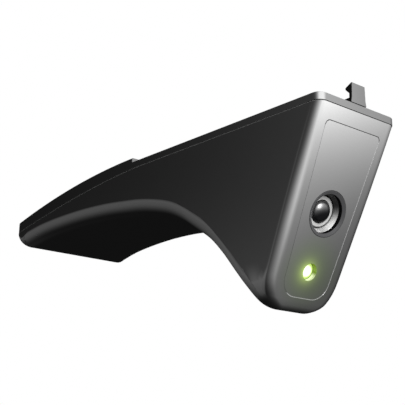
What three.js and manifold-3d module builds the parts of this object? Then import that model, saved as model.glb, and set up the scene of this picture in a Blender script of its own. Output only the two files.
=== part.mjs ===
// Overhead golf launch monitor: a camera unit that hangs under a ceiling plate.
// Millimetres, +Z up, +X towards the raked front face, Y across.
// The origin is the middle of the flat seat on top of the cover, where the ceiling plate lies.
import * as THREE from "three";
import { mergeVertices } from "three/addons/utils/BufferGeometryUtils.js";
import Module from "manifold-3d";

const wasm = await Module();
wasm.setup();

// Overall sizes
const seatLength = 260;
const bodyLength = 492;
const frontWidth = 100.6;
const rearWidth = 154.8;
const rakeAngle = 25.6;
const faceLength = 189;

// Cover and parting line
const coverEdge = 7.4;
const coverWall = 2.6;
const coverCornerRound = 9;
const stepRise = 4.5;
const rearTopDrop = 28.8;
const partingStart = 245;
const partingDrop = 29.2;
const seamGap = 0.6;
const topPowerShare = 1.9;
const partingPowerShare = 1.6;
const coverScrewBacks = [16, 234, 452];
const padRadius = 6;
const padThickness = 2.6;
const tongueDepth = 4;
const tongueWall = 1.6;
const tongueGap = 0.6;
const rearTongueStop = 30;
const frontTongueStop = 28;

// Lower shell
const shellWall = 3;
const faceWall = 5.5;
const noseRadius = 13.5;
const noseBackAngle = 34;
const rearCornerRadius = 16;
const rearRound = 3.5;
const bellyRound = 15;
const noseRound = 12;
const edgeRound = 9;
const archDepth = 48.2;
const bellyRearDepth = 55;
const sideLean = 11.2;
const leanDepth = 141.6;
const noseStart = 142.7;
const noseHeight = 36.1;
const leanPowerShare = 1.2;
const nosePowerShare = 2.4;
const noseEndShare = 0.999;
const roundChangeShares = [0.7, 1];
const rimSetbackShare = 1.5;
const columnInset = 6.5;
const columnDrop = 24;

// Clearances and overruns
const seatGap = 0.3;
const screwGap = 0.35;
const runningGap = 0.4;
const overrun = 8;
const rimLift = 25;
const leastRound = 1;
const mergeDistance = 1e-4;

// Screws
const screwRadius = 1.6;
const screwHeadRadius = 3.3;
const screwHeadHeight = 2.2;
const screwLength = 14;
const boardScrewLength = 7;
const bossRadius = 4.2;
const bracketScrewInset = 6;
const lightScrewInset = 3.4;
const lightScrewLength = 5;
const lightBossRadius = 2.8;
const guideScrewHole = 6;

// Front panel, measured down the face from the parting line
const panelThickness = 2;
const panelTop = 14.7;
const panelBottom = 172.4;
const panelTopHalf = 35;
const panelBottomHalf = 26.6;
const panelTopRound = 4.5;
const panelBottomRound = 17;

// Camera
const lensDepth = 93.7;
const bezelRadius = 21.3;
const lensOpening = 17.8;
const bezelChamfer = 2.4;
const bezelLength = 13;
const bezelWall = 2.2;
const hoodRadius = 17;
const hoodSetback = 4.6;
const hoodLip = 0.8;
const ringRadius = 13.6;
const ringSetback = 9.6;
const glassRadius = 10.4;
const glassBulge = 6.6;
const barrelLength = 30;
const barrelNeck = 13.2;
const focusRingRadius = 17.4;
const focusRingStart = 17;
const focusRingLength = 9;
const focusRibs = 24;
const focusRibDepth = 0.5;
const lockScrewRadius = 1.5;
const lockScrewLength = 6;
const bracketSetback = 34;
const bracketThickness = 3;
const bracketHalfWidth = 38;
const bracketHalfHeight = 27;
const cameraHalf = 21;
const cameraLength = 26;
const cameraWall = 2.4;
const flangeRadius = 17;
const flangeLength = 5;
const sensorBoardHalf = 18.3;
const boardThickness = 1.6;
const sensorHalf = 7;
const sensorThickness = 1.8;

// Status light
const lightDepth = 148;
const lightRadius = 8;
const lightDomeRadius = 5.4;
const lightSetback = 4.6;
const lightBoardHalf = 12;
const lightBoardSetback = 15;
const emitterHalf = 2.5;
const emitterHeight = 1.2;

// Latch
const hookHeight = 19.4;
const hookHalfWidth = 8.6;
const hookFootFlare = 1.5;
const hookThickness = 3.4;
const hookNose = 7.8;
const noseLip = 5.3;
const noseUnder = 9.6;
const hookFootHeight = 5.3;
const hookFootLength = 30;
const latchTravel = 5;
const stemStart = 18;
const stemLength = 8;
const stemHalfWidth = 4;
const stemDrop = 19;
const latchPinRadius = 1.6;
const latchPinDepth = 15.5;
const latchPinLength = 44;
const latchPinHead = 4.6;
const latchPinHeadLength = 2.5;
const latchPinSocket = 5;
const guideStart = 33;
const guideLength = 40;
const guideHalfWidth = 14;
const guideThickness = 2.5;
const guideDrop = 5.4;
const guideLugLength = 3.2;
const guideLugDrop = 13;
const guideWindowHalf = 5.4;
const guideScrewBack = 60;
const guideScrewOut = 9.4;
const springWire = 0.8;
const springRadius = 3.4;

// Main board and what stands on it
const boardTop = 34.4;
const boardStart = 262;
const boardEnd = 474;
const boardHalfWidth = 50;
const boardScrewInset = 7;
const chipHalf = 17;
const chipThickness = 2.6;
const chipBack = 330;
const sinkHalf = 30;
const sinkHeight = 14;
const sinkBase = 3;
const sinkFins = 9;
const finThickness = 1.6;
const memoryLength = 12;
const memoryWidth = 9;
const memoryThickness = 1.4;
const memoryBack = 372;
const memoryOut = 12;
const coilSize = 12;
const coilHeight = 6;
const coilBack = 432;
const coilOut = 30;

// Sockets in the rear end
const inletOut = 16;
const inletHalfWidth = 4.6;
const inletHeight = 7.8;
const inletLength = 19;
const inletBore = 3.1;
const inletBoreDepth = 10;
const inletPin = 1;
const dataOut = 13;
const dataHalfWidth = 4.9;
const dataHeight = 3.8;
const dataLength = 16;
const dataWall = 0.5;
const dataTongue = 0.7;
const dataDepth = 7;
const socketSink = 0.5;

// Ribbon cables
const ribbonThickness = 0.7;
const cameraRibbonWidth = 16;
const lightRibbonWidth = 6;
const ribbonLoop = 26;
const ribbonBend = 4.5;

// Round counts
const cornerSteps = 5;
const filletSteps = 3;
const boltSides = 8;
const ringSides = 28;
const lampSides = 20;
const noseSteps = 6;
const faceSteps = 5;
const bellySteps = 20;
const curveSteps = 12;
const glassSteps = 5;
const ribbonSteps = 20;

// The belly curve, from the nose to the rear corner: shares of the way back, and of the way
// down from the top of the arch to where the nose begins.
const bellyShares = [
  [0, 1],
  [0.0199, 0.895],
  [0.0587, 0.743],
  [0.0979, 0.592],
  [0.1415, 0.452],
  [0.1924, 0.337],
  [0.2431, 0.235],
  [0.2994, 0.161],
  [0.39, 0.091],
  [0.484, 0.049],
  [0.5733, 0.02],
  [0.6833, 0.0017],
  [0.8041, 0],
  [0.9114, 0.0166],
  [1, 0.0555],
];
const sideRowShares = [0.08, 0.25, 0.55, 1];

// Outline functions, by distance back from the front edge
const rake = THREE.MathUtils.degToRad(rakeAngle);
const frontX = seatLength / 2;
const rearSpan = bodyLength - seatLength;
const noseTop = new THREE.Vector2(Math.sin(rake), -Math.cos(rake));
const faceInward = new THREE.Vector2(Math.cos(rake), Math.sin(rake));

function xAt(back) {
  return frontX - back;
}

function halfWidthAt(back) {
  const flare = (rearWidth - frontWidth) / 2;
  return frontWidth / 2 + (flare * back) / bodyLength;
}

function topAt(back) {
  if (back < seatLength) return 0;
  return stepRise - rearTopDrop * Math.pow((back - seatLength) / rearSpan, topPowerShare);
}

function partingAt(back) {
  const share = Math.max(back - partingStart, 0) / (bodyLength - partingStart);
  return -coverEdge - partingDrop * Math.pow(share, partingPowerShare);
}

function sideHalfAt(back, z) {
  const below = Math.max(partingAt(back) - z, 0) / leanDepth;
  const lean = sideLean * Math.pow(below, leanPowerShare);
  const down = THREE.MathUtils.clamp((-z - noseStart) / noseHeight, 0, noseEndShare);
  const nose = Math.pow(1 - Math.pow(down, nosePowerShare), 1 / nosePowerShare);
  return (halfWidthAt(back) - lean) * nose;
}

// A point on the front face, by its distance down from the parting line
function facePoint(down) {
  return noseTop.clone().multiplyScalar(down).add(new THREE.Vector2(0, -coverEdge));
}

// Solids
function solidOf(geometry) {
  const bare = geometry.index ? geometry.toNonIndexed() : geometry.clone();
  bare.deleteAttribute("normal");
  bare.deleteAttribute("uv");
  const merged = mergeVertices(bare, mergeDistance);
  const triangles = [];
  for (let i = 0; i < merged.index.count; i += 3) {
    const [a, b, c] = merged.index.array.subarray(i, i + 3);
    if (a !== b && b !== c && c !== a) triangles.push([a, b, c]);
  }
  const build = (list) =>
    new wasm.Manifold(
      new wasm.Mesh({
        numProp: 3,
        vertProperties: merged.attributes.position.array,
        triVerts: new Uint32Array(list.flat()),
      }),
    );
  const solid = build(triangles);
  return solid.volume() < 0 ? build(triangles.map(([a, b, c]) => [a, c, b])) : solid;
}

function geometryOf(solid) {
  const mesh = solid.getMesh();
  const geometry = new THREE.BufferGeometry();
  const points = new Float32Array(mesh.vertProperties);
  geometry.setAttribute("position", new THREE.BufferAttribute(points, 3));
  geometry.setIndex(new THREE.BufferAttribute(new Uint32Array(mesh.triVerts), 1));
  geometry.computeVertexNormals();
  return geometry;
}

function joined(first, ...others) {
  return others.reduce((sum, other) => sum.add(other), first);
}

function cut(first, ...others) {
  return others.reduce((rest, other) => rest.subtract(other), first);
}

function boxSolid(low, high) {
  const size = high.map((value, axis) => value - low[axis]);
  const geometry = new THREE.BoxGeometry(...size);
  geometry.translate(...low.map((value, axis) => value + size[axis] / 2));
  return solidOf(geometry);
}

// A closed outline whose corners, given as [across, up, radius], are rounded
function roundedOutline(corners, steps = cornerSteps) {
  const points = [];
  corners.forEach(([x, y, radius], i) => {
    const here = new THREE.Vector2(x, y);
    const before = corners[(i + corners.length - 1) % corners.length];
    const after = corners[(i + 1) % corners.length];
    const toBefore = new THREE.Vector2(before[0], before[1]).sub(here).normalize();
    const toAfter = new THREE.Vector2(after[0], after[1]).sub(here).normalize();
    if (!radius) {
      points.push(here);
      return;
    }
    const halfAngle = Math.acos(THREE.MathUtils.clamp(toBefore.dot(toAfter), -1, 1)) / 2;
    const middle = toBefore.clone().add(toAfter).normalize();
    const centre = middle.multiplyScalar(radius / Math.sin(halfAngle)).add(here);
    const reach = radius / Math.tan(halfAngle);
    const start = toBefore.multiplyScalar(reach).add(here).sub(centre);
    const end = toAfter.multiplyScalar(reach).add(here).sub(centre);
    const sweep = Math.atan2(start.cross(end), start.dot(end));
    for (let k = 0; k <= steps; k += 1) {
      const spoke = start.clone().rotateAround(new THREE.Vector2(), (sweep * k) / steps);
      points.push(spoke.add(centre));
    }
  });
  return new THREE.Shape(points);
}

function rectangle(halfWide, halfHigh, radius = 0) {
  return roundedOutline([
    [-halfWide, -halfHigh, radius],
    [halfWide, -halfHigh, radius],
    [halfWide, halfHigh, radius],
    [-halfWide, halfHigh, radius],
  ]);
}

// A flat plate between two heights
function plateSolid(shape, low, high) {
  const geometry = new THREE.ExtrudeGeometry(shape, { depth: high - low, bevelEnabled: false });
  geometry.translate(0, 0, low);
  return solidOf(geometry);
}

// A side outline in X and Z, carried across from -halfWide to +halfWide about the given middle
function acrossSolid(shape, halfWide, middle = 0) {
  const geometry = new THREE.ExtrudeGeometry(shape, { depth: 2 * halfWide, bevelEnabled: false });
  geometry.rotateX(Math.PI / 2);
  geometry.translate(0, middle + halfWide, 0);
  return solidOf(geometry);
}

// An upright cylinder
function postSolid(x, y, radius, low, high, sides = boltSides) {
  const geometry = new THREE.CylinderGeometry(radius, radius, high - low, sides);
  geometry.rotateX(Math.PI / 2);
  geometry.translate(x, y, (low + high) / 2);
  return solidOf(geometry);
}

// A turned solid about the local Z axis, from points of radius and height
function turnedSolid(profile, sides = ringSides) {
  const points = profile.map(([radius, height]) => new THREE.Vector2(radius, height));
  const geometry = new THREE.LatheGeometry(points, sides);
  geometry.rotateX(Math.PI / 2);
  return solidOf(geometry);
}

// A turned ring: its section closes on itself
function ringSolid(profile, sides = ringSides) {
  return turnedSolid([...profile, profile[0]], sides);
}

// The front face's frame: across, up the face, and out along its normal
const faceFrame = new THREE.Matrix4().makeBasis(
  new THREE.Vector3(0, 1, 0),
  new THREE.Vector3(Math.sin(rake), 0, Math.cos(rake)),
  new THREE.Vector3(Math.cos(rake), 0, -Math.sin(rake)),
);
faceFrame.setPosition(frontX, 0, -coverEdge);

function ontoFace(solid, down = 0) {
  const place = faceFrame.clone().multiply(new THREE.Matrix4().makeTranslation(0, -down, 0));
  return solid.transform(place.elements);
}

// The side outline of the lower shell, as stations with an inward direction
function station(point, inward, round, wall) {
  return { point, inward, round, wall };
}

function rearStations(rim) {
  const low = -bellyRearDepth + rearCornerRadius;
  const inward = new THREE.Vector2(-1, 0);
  return [rim, low / 2, low].map((z) =>
    station(new THREE.Vector2(bodyLength, z), inward, rearRound, shellWall),
  );
}

function cornerStations() {
  const centre = new THREE.Vector2(bodyLength - rearCornerRadius, -bellyRearDepth + rearCornerRadius);
  const list = [];
  for (let k = 1; k < cornerSteps; k += 1) {
    const share = k / cornerSteps;
    const out = new THREE.Vector2(1, 0).rotateAround(new THREE.Vector2(), (-Math.PI / 2) * share);
    const point = out.clone().multiplyScalar(rearCornerRadius).add(centre);
    const round = THREE.MathUtils.lerp(rearRound, bellyRound, share);
    list.push(station(point, out.negate(), round, shellWall));
  }
  return list;
}

function bellyStations() {
  const curve = new THREE.SplineCurve(bellyPoints().reverse());
  const list = [];
  for (let k = 0; k <= bellySteps; k += 1) {
    const share = k / bellySteps;
    const tangent = curve.getTangent(share);
    const inward = new THREE.Vector2(tangent.y, -tangent.x);
    const change = THREE.MathUtils.smoothstep(share, ...roundChangeShares);
    const round = THREE.MathUtils.lerp(bellyRound, noseRound, change);
    list.push(station(curve.getPoint(share), inward, round, shellWall));
  }
  return list;
}

function noseStations() {
  const list = [];
  for (let k = 1; k <= noseSteps; k += 1) {
    const share = k / noseSteps;
    const out = noseBack.clone().rotateAround(new THREE.Vector2(), -noseSweep * share);
    const point = out.clone().multiplyScalar(noseRadius).add(noseCentre);
    const wall = THREE.MathUtils.lerp(shellWall, faceWall, share);
    const round = THREE.MathUtils.lerp(noseRound, edgeRound, share);
    list.push(station(point, out.negate(), round, wall));
  }
  return list;
}

function faceStations(rim) {
  const bottom = faceLength - noseRadius;
  const top = -(rim + coverEdge) / Math.cos(rake);
  const list = [];
  for (let k = 1; k <= faceSteps; k += 1) {
    const share = k / faceSteps;
    const slide = noseTop.clone().multiplyScalar(Math.tan(rake) * share);
    const inward = faceInward.clone().add(slide);
    const point = facePoint(THREE.MathUtils.lerp(bottom, top, share));
    list.push(station(point, inward, edgeRound, faceWall));
  }
  return list;
}

// Where the nose's arc starts, on the back of the leg
const noseCentre = facePoint(faceLength - noseRadius).add(faceInward.clone().multiplyScalar(noseRadius));
const noseBack = new THREE.Vector2(1, 0).rotateAround(
  new THREE.Vector2(),
  -THREE.MathUtils.degToRad(noseBackAngle),
);
const noseSweep = Math.PI - THREE.MathUtils.degToRad(noseBackAngle) - rake;

function bellyPoints() {
  const start = noseBack.clone().multiplyScalar(noseRadius).add(noseCentre);
  const end = bodyLength - rearCornerRadius;
  return bellyShares.map(([along, down]) => {
    const back = THREE.MathUtils.lerp(start.x, end, along);
    const depth = THREE.MathUtils.lerp(archDepth, -start.y, down);
    return new THREE.Vector2(back, -depth);
  });
}

// One ring of the lower form: the floor, the rounded edge and the side up to the rim
function ringAt(spot, rimPoint, hollow) {
  const wall = hollow ? spot.wall : 0;
  const sideWall = hollow ? shellWall : 0;
  const round = spot.round - wall;
  const half = [];
  const put = (point, y) => half.push([xAt(point.x), y, point.y]);
  for (let k = 0; k <= filletSteps; k += 1) {
    const angle = (Math.PI / 2) * (1 - k / filletSteps);
    const depth = wall + round * (1 - Math.sin(angle));
    const point = spot.inward.clone().multiplyScalar(depth).add(spot.point);
    put(point, sideHalfAt(point.x, point.y) - sideWall - round * (1 - Math.cos(angle)));
  }
  const shoulder = spot.inward.clone().multiplyScalar(spot.round).add(spot.point);
  const seam = new THREE.Vector2(rimPoint.x, partingAt(rimPoint.x));
  if (shoulder.y > seam.y) seam.copy(rimPoint).lerp(shoulder, sideRowShares[0]);
  sideRowShares.forEach((share) => {
    const point = shoulder.clone().lerp(seam, share);
    put(point, sideHalfAt(point.x, point.y) - sideWall);
  });
  put(rimPoint, sideHalfAt(rimPoint.x, rimPoint.y) - sideWall);
  const mirrored = half.map(([x, y, z]) => [x, -y, z]).reverse();
  return [...mirrored, ...half];
}

// The closed form of the lower shell, or of the space within its walls
function lowerForm(rim, hollow) {
  const stations = [
    ...rearStations(rim),
    ...cornerStations(),
    ...bellyStations(),
    ...noseStations(),
    ...faceStations(rim),
  ];
  const last = stations.at(-1);
  const rearRim = bodyLength - 2 * rearRound;
  const frontRim = last.point.x + rimSetbackShare * last.round * last.inward.x;
  const rings = stations.map((spot, i) => {
    const share = i / (stations.length - 1);
    const rimPoint = new THREE.Vector2(THREE.MathUtils.lerp(rearRim, frontRim, share), rim);
    return ringAt(spot, rimPoint, hollow);
  });
  return solidOf(loftGeometry(rings));
}

// Rings of equally many points, joined in order and closed with a fan at each end
function loftGeometry(rings) {
  const count = rings[0].length;
  const index = [];
  for (let i = 0; i + 1 < rings.length; i += 1) {
    for (let j = 0; j < count; j += 1) {
      const next = (j + 1) % count;
      const [a, b] = [i * count + j, i * count + next];
      index.push(a, b, b + count, a, b + count, a + count);
    }
  }
  const middle = count / 2;
  const endStart = (rings.length - 1) * count;
  for (let j = 1; j + 1 < count; j += 1) {
    const [p, q] = [(middle + j) % count, (middle + j + 1) % count];
    index.push(middle, q, p);
    index.push(endStart + middle, endStart + p, endStart + q);
  }
  const geometry = new THREE.BufferGeometry();
  geometry.setAttribute("position", new THREE.Float32BufferAttribute(rings.flat(2), 3));
  geometry.setIndex(index);
  return geometry;
}

// Side outlines of the cover: everything below, or above, a curve along the length
function curvePoints(heightAt, start, end) {
  const points = [];
  for (let k = 0; k <= curveSteps; k += 1) {
    const back = THREE.MathUtils.lerp(start, end, k / curveSteps);
    points.push(new THREE.Vector2(xAt(back), heightAt(back)));
  }
  return points;
}

function partingLine(offset) {
  const heightAt = (back) => partingAt(back) + offset;
  const points = curvePoints(heightAt, partingStart, bodyLength);
  const end = points.at(-1);
  points.unshift(new THREE.Vector2(frontX + overrun, heightAt(0)));
  points.push(new THREE.Vector2(end.x - overrun, end.y));
  return points;
}

function topLine(offset) {
  const stepBack = seatLength - offset;
  const heightAt = (back) => topAt(Math.max(back, seatLength)) + offset;
  const points = curvePoints(heightAt, stepBack, bodyLength);
  const end = points.at(-1);
  points.unshift(new THREE.Vector2(xAt(stepBack), offset));
  points.unshift(new THREE.Vector2(frontX + overrun, offset));
  points.push(new THREE.Vector2(end.x - overrun, end.y));
  return points;
}

function between(upper, lower) {
  return new THREE.Shape([...upper, ...lower.reverse()]);
}

function planOutline(inset) {
  const frontHalf = halfWidthAt(0) - inset;
  const rearHalf = halfWidthAt(bodyLength) - inset;
  const frontRound = coverCornerRound - inset;
  const rearCorner = Math.max(rearRound - inset, leastRound);
  const frontEdge = frontX - inset;
  const rearEdge = xAt(bodyLength) + inset;
  return roundedOutline([
    [frontEdge, -frontHalf, frontRound],
    [frontEdge, frontHalf, frontRound],
    [rearEdge, rearHalf, rearCorner],
    [rearEdge, -rearHalf, rearCorner],
  ]);
}

function deepPlan(inset) {
  return plateSolid(planOutline(inset), -partingDrop - coverEdge - 2 * overrun, stepRise + overrun);
}

// Places of the cover's screws, with the heights that each one needs
function coverScrewPlaces() {
  return coverScrewBacks.flatMap((back) => {
    const seat = topAt(back + screwHeadRadius) - screwHeadHeight - seatGap;
    const padTop = seat - seatGap;
    const padLow = padTop - padThickness;
    const out = halfWidthAt(back) - columnInset;
    return [-out, out].map((y) => {
      return { x: xAt(back), y, seat, padTop, padLow, columnTop: padLow - seatGap };
    });
  });
}

// Places of the main board's screws
function boardScrewPlaces() {
  const backs = [boardStart + boardScrewInset, boardEnd - boardScrewInset];
  const out = boardHalfWidth - boardScrewInset;
  return backs.flatMap((back) => [-out, out].map((y) => ({ x: xAt(back), y })));
}

function bracketScrewPlaces() {
  const across = bracketHalfWidth - bracketScrewInset;
  const up = bracketHalfHeight - bracketScrewInset;
  return [-1, 1].flatMap((i) => [-1, 1].map((j) => ({ x: i * across, y: j * up })));
}

function lightScrewPlaces() {
  const across = lightBoardHalf - lightScrewInset;
  return [-1, 1].map((i) => ({ x: i * across, y: across }));
}

// A boss with a blind pilot hole, standing between two heights
function bossSolid(x, y, low, high, radius, holeDepth, under) {
  const hole = screwRadius + screwGap;
  const boss = postSolid(x, y, radius, low, high);
  const pilot = under
    ? postSolid(x, y, hole, low - overrun, low + holeDepth)
    : postSolid(x, y, hole, high - holeDepth, high + overrun);
  return cut(boss, pilot);
}

// Outer pieces
function bodyShell() {
  const outer = lowerForm(rimLift, false);
  const inner = lowerForm(rimLift + overrun, true);
  const depth = faceLength + overrun;
  const floor = [
    new THREE.Vector2(xAt(bodyLength) - overrun, -depth),
    new THREE.Vector2(frontX + overrun, -depth),
  ];
  const below = acrossSolid(between(partingLine(-seamGap / 2), floor.reverse()), rearWidth);
  let shell = outer.subtract(inner).intersect(below);

  coverScrewPlaces().forEach(({ x, y, columnTop }) => {
    const column = bossSolid(x, y, columnTop - columnDrop, columnTop, bossRadius, screwLength, false);
    shell = shell.add(column.intersect(deepPlan(coverWall + seatGap)).intersect(outer));
  });
  boardScrewPlaces().forEach(({ x, y }) => {
    const top = -boardTop - boardThickness - seatGap;
    const boss = bossSolid(x, y, top - archDepth, top, bossRadius, boardScrewLength, false);
    shell = shell.add(boss.intersect(outer));
  });
  const bracketTop = -(bracketSetback - bracketThickness - seatGap);
  bracketScrewPlaces().forEach(({ x, y }) => {
    const boss = bossSolid(x, y, bracketTop, -faceWall / 2, bossRadius, boardScrewLength, true);
    shell = shell.add(ontoFace(boss, lensDepth));
  });
  const lightTop = -(lightBoardSetback - boardThickness - seatGap);
  lightScrewPlaces().forEach(({ x, y }) => {
    const boss = bossSolid(x, y, lightTop, -faceWall / 2, lightBossRadius, lightScrewLength, true);
    shell = shell.add(ontoFace(boss, lightDepth));
  });

  const pocket = plateSolid(panelOutline(seatGap), -panelThickness - seatGap, overrun);
  const lensHole = postSolid(0, 0, bezelRadius - bezelWall / 2 + seatGap, -2 * overrun, overrun, ringSides);
  const lightHole = postSolid(0, 0, lightRadius + seatGap, -2 * overrun, overrun, ringSides);
  return cut(shell, ontoFace(pocket), ontoFace(lensHole, lensDepth), ontoFace(lightHole, lightDepth));
}

function topCover() {
  const band = acrossSolid(between(topLine(0), partingLine(seamGap / 2)), rearWidth);
  const room = acrossSolid(between(topLine(-coverWall), partingLine(-overrun)), rearWidth);
  let cover = deepPlan(0).intersect(band);
  cover = cut(cover, deepPlan(coverWall).intersect(room));
  cover = cover.add(coverTongue());

  coverScrewPlaces().forEach(({ x, y, seat, padTop, padLow }) => {
    const pad = postSolid(x, y, padRadius, padLow, seat + screwHeadHeight - seatGap);
    const head = postSolid(x, y, screwHeadRadius + screwGap, padTop, overrun);
    const hole = postSolid(x, y, screwRadius + screwGap, padLow - overrun, overrun);
    cover = cut(cover.add(pad.intersect(deepPlan(coverWall / 2))), head, hole);
  });
  [-guideScrewOut, guideScrewOut].forEach((y) => {
    const top = -coverWall / 2;
    const low = -coverWall - guideDrop;
    const boss = bossSolid(xAt(guideScrewBack), y, low, top, bossRadius, guideScrewHole, true);
    cover = cover.add(boss);
  });

  const slotFront = xAt(stemStart - latchTravel - runningGap);
  const slotRear = xAt(stemStart + stemLength + runningGap);
  const slotHalf = stemHalfWidth + runningGap;
  const slot = boxSolid([slotRear, -slotHalf, -coverEdge], [slotFront, slotHalf, overrun]);
  return cut(cover, slot, inletBox(seatGap), dataBox(seatGap));
}

// The lip under the cover's rim that sits inside the lower shell
function coverTongue() {
  const outside = deepPlan(shellWall + tongueGap);
  const inside = deepPlan(shellWall + tongueGap + tongueWall);
  const upper = partingLine(coverWall / 2);
  const band = acrossSolid(between(upper, partingLine(-tongueDepth)), rearWidth);
  const rear = boxSolid(
    [xAt(bodyLength) - overrun, -rearWidth, -bodyLength],
    [xAt(bodyLength - rearTongueStop), rearWidth, overrun],
  );
  const front = boxSolid(
    [xAt(frontTongueStop), -rearWidth, -bodyLength],
    [frontX + overrun, rearWidth, overrun],
  );
  const web = deepPlan(coverWall / 2).intersect(
    acrossSolid(between(partingLine(coverWall), partingLine(coverWall / 2)), rearWidth),
  );
  const lip = outside.subtract(inside).intersect(band);
  const ledge = web.subtract(inside);
  const columns = coverScrewPlaces().map(({ x, y, columnTop }) =>
    postSolid(x, y, bossRadius + tongueGap, columnTop - columnDrop, columnTop + seatGap / 2),
  );
  return cut(lip.add(ledge), rear, front, ...columns);
}

function panelOutline(grow) {
  const top = -panelTop + grow;
  const bottom = -panelBottom - grow;
  return roundedOutline([
    [-panelTopHalf - grow, top, panelTopRound],
    [-panelBottomHalf - grow, bottom, panelBottomRound],
    [panelBottomHalf + grow, bottom, panelBottomRound],
    [panelTopHalf + grow, top, panelTopRound],
  ]);
}

function frontPanel() {
  const plate = plateSolid(panelOutline(0), -panelThickness, 0);
  const place = (solid, down) => solid.translate([0, -down, 0]);
  const lensHole = postSolid(0, 0, bezelRadius + seatGap, -overrun, overrun, ringSides);
  const lightHole = postSolid(0, 0, lightRadius, -overrun, overrun, ringSides);
  return cut(plate, place(lensHole, lensDepth), place(lightHole, lightDepth));
}

// Latch
function latchHook() {
  const at = (back, z) => new THREE.Vector2(xAt(back), z);
  const side = new THREE.Shape([
    at(0, seatGap),
    at(0, hookHeight),
    at(hookThickness / 3, hookHeight),
    at(hookNose, hookHeight - hookThickness),
    at(hookNose, hookHeight - noseLip),
    at(hookThickness, noseUnder),
    at(hookThickness, hookFootHeight),
    at(hookFootLength - hookThickness, hookFootHeight),
    at(hookFootLength, hookFootHeight - hookThickness),
    at(hookFootLength, seatGap),
  ]);
  const wide = hookHalfWidth + hookFootFlare;
  const front = new THREE.Shape([
    new THREE.Vector2(-wide, seatGap),
    new THREE.Vector2(wide, seatGap),
    new THREE.Vector2(hookHalfWidth + hookFootFlare / 3, hookFootHeight),
    new THREE.Vector2(hookHalfWidth, hookHeight),
    new THREE.Vector2(-hookHalfWidth, hookHeight),
    new THREE.Vector2(-hookHalfWidth - hookFootFlare / 3, hookFootHeight),
  ]);
  const frontBar = new THREE.ExtrudeGeometry(front, { depth: hookFootLength, bevelEnabled: false });
  frontBar.applyMatrix4(
    new THREE.Matrix4().makeBasis(
      new THREE.Vector3(0, 1, 0),
      new THREE.Vector3(0, 0, 1),
      new THREE.Vector3(1, 0, 0),
    ),
  );
  frontBar.translate(xAt(hookFootLength), 0, 0);
  const hook = acrossSolid(side, wide).intersect(solidOf(frontBar));
  const stem = boxSolid(
    [xAt(stemStart + stemLength), -stemHalfWidth, -stemDrop],
    [xAt(stemStart), stemHalfWidth, hookFootHeight / 2],
  );
  const socketEnd = xAt(stemStart + stemLength);
  const socket = alongSolid(
    0,
    -latchPinDepth,
    latchPinRadius + screwGap,
    socketEnd - overrun,
    socketEnd + latchPinSocket,
  );
  return cut(hook.add(stem), socket);
}

// A cylinder along X
function alongSolid(y, z, radius, low, high, sides = boltSides) {
  const geometry = new THREE.CylinderGeometry(radius, radius, high - low, sides);
  geometry.rotateZ(Math.PI / 2);
  geometry.translate((low + high) / 2, y, z);
  return solidOf(geometry);
}

function latchPin() {
  const tip = xAt(stemStart + stemLength) + latchPinSocket - seatGap;
  const end = tip - latchPinLength;
  const rod = alongSolid(0, -latchPinDepth, latchPinRadius, end, tip);
  const head = alongSolid(0, -latchPinDepth, latchPinHead, end - latchPinHeadLength, end, 2 * boltSides);
  return rod.add(head);
}

function latchSpring() {
  const front = xAt(guideStart + guideLugLength) - seatGap;
  const rear = xAt(stemStart + stemLength) + latchPinSocket - latchPinLength;
  const outer = springRadius + springWire / 2;
  const inner = springRadius - springWire / 2;
  const tube = alongSolid(0, -latchPinDepth, outer, rear, front, 2 * boltSides);
  const bore = alongSolid(0, -latchPinDepth, inner, rear - overrun, front + overrun, 2 * boltSides);
  return tube.subtract(bore);
}

function latchGuide() {
  const top = -coverWall - guideDrop - seatGap;
  const low = top - guideThickness;
  const plate = boxSolid(
    [xAt(guideStart + guideLength), -guideHalfWidth, low],
    [xAt(guideStart), guideHalfWidth, top],
  );
  const lug = boxSolid(
    [xAt(guideStart + guideLugLength), -guideHalfWidth, low - guideLugDrop],
    [xAt(guideStart), guideHalfWidth, top - guideThickness / 2],
  );
  const pinHole = alongSolid(
    0,
    -latchPinDepth,
    latchPinRadius + runningGap,
    xAt(guideStart + guideLugLength) - overrun,
    xAt(guideStart) + overrun,
  );
  const window = boxSolid(
    [xAt(guideStart + guideLength) - overrun, -guideWindowHalf, low - overrun],
    [xAt(guideStart + guideLugLength), guideWindowHalf, top + overrun],
  );
  const holes = [-guideScrewOut, guideScrewOut].map((y) =>
    postSolid(xAt(guideScrewBack), y, screwRadius + screwGap, low - overrun, top + overrun),
  );
  return cut(plate.add(lug), pinHole, window, ...holes);
}

// Screws stand head up at the origin of their own frame
function screwSolid(length) {
  return turnedSolid(
    [
      [0, -length],
      [screwRadius, -length],
      [screwRadius, 0],
      [screwHeadRadius, 0],
      [screwHeadRadius, screwHeadHeight],
      [0, screwHeadHeight],
    ],
    boltSides,
  );
}

// Camera pieces, in the face frame about the lens axis: heights are negative inwards
function lensBezel() {
  const barrelOut = bezelRadius - bezelWall / 2;
  return ringSolid([
    [lensOpening, -bezelLength],
    [barrelOut, -bezelLength],
    [barrelOut, -panelThickness],
    [bezelRadius, -panelThickness],
    [bezelRadius, 0],
    [lensOpening, -bezelChamfer],
  ]);
}

function lensBarrel() {
  const back = -hoodSetback - barrelLength;
  return ringSolid([
    [barrelNeck - 2 * cameraWall, back],
    [barrelNeck, back],
    [barrelNeck, -focusRingStart + runningGap],
    [hoodRadius, -focusRingStart + runningGap],
    [hoodRadius, -hoodSetback],
    [hoodRadius - hoodLip, -hoodSetback],
    [ringRadius + runningGap, -ringSetback],
    [ringRadius + runningGap, -ringSetback - hoodSetback],
    [barrelNeck - 2 * cameraWall, -ringSetback - hoodSetback],
  ]);
}

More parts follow.
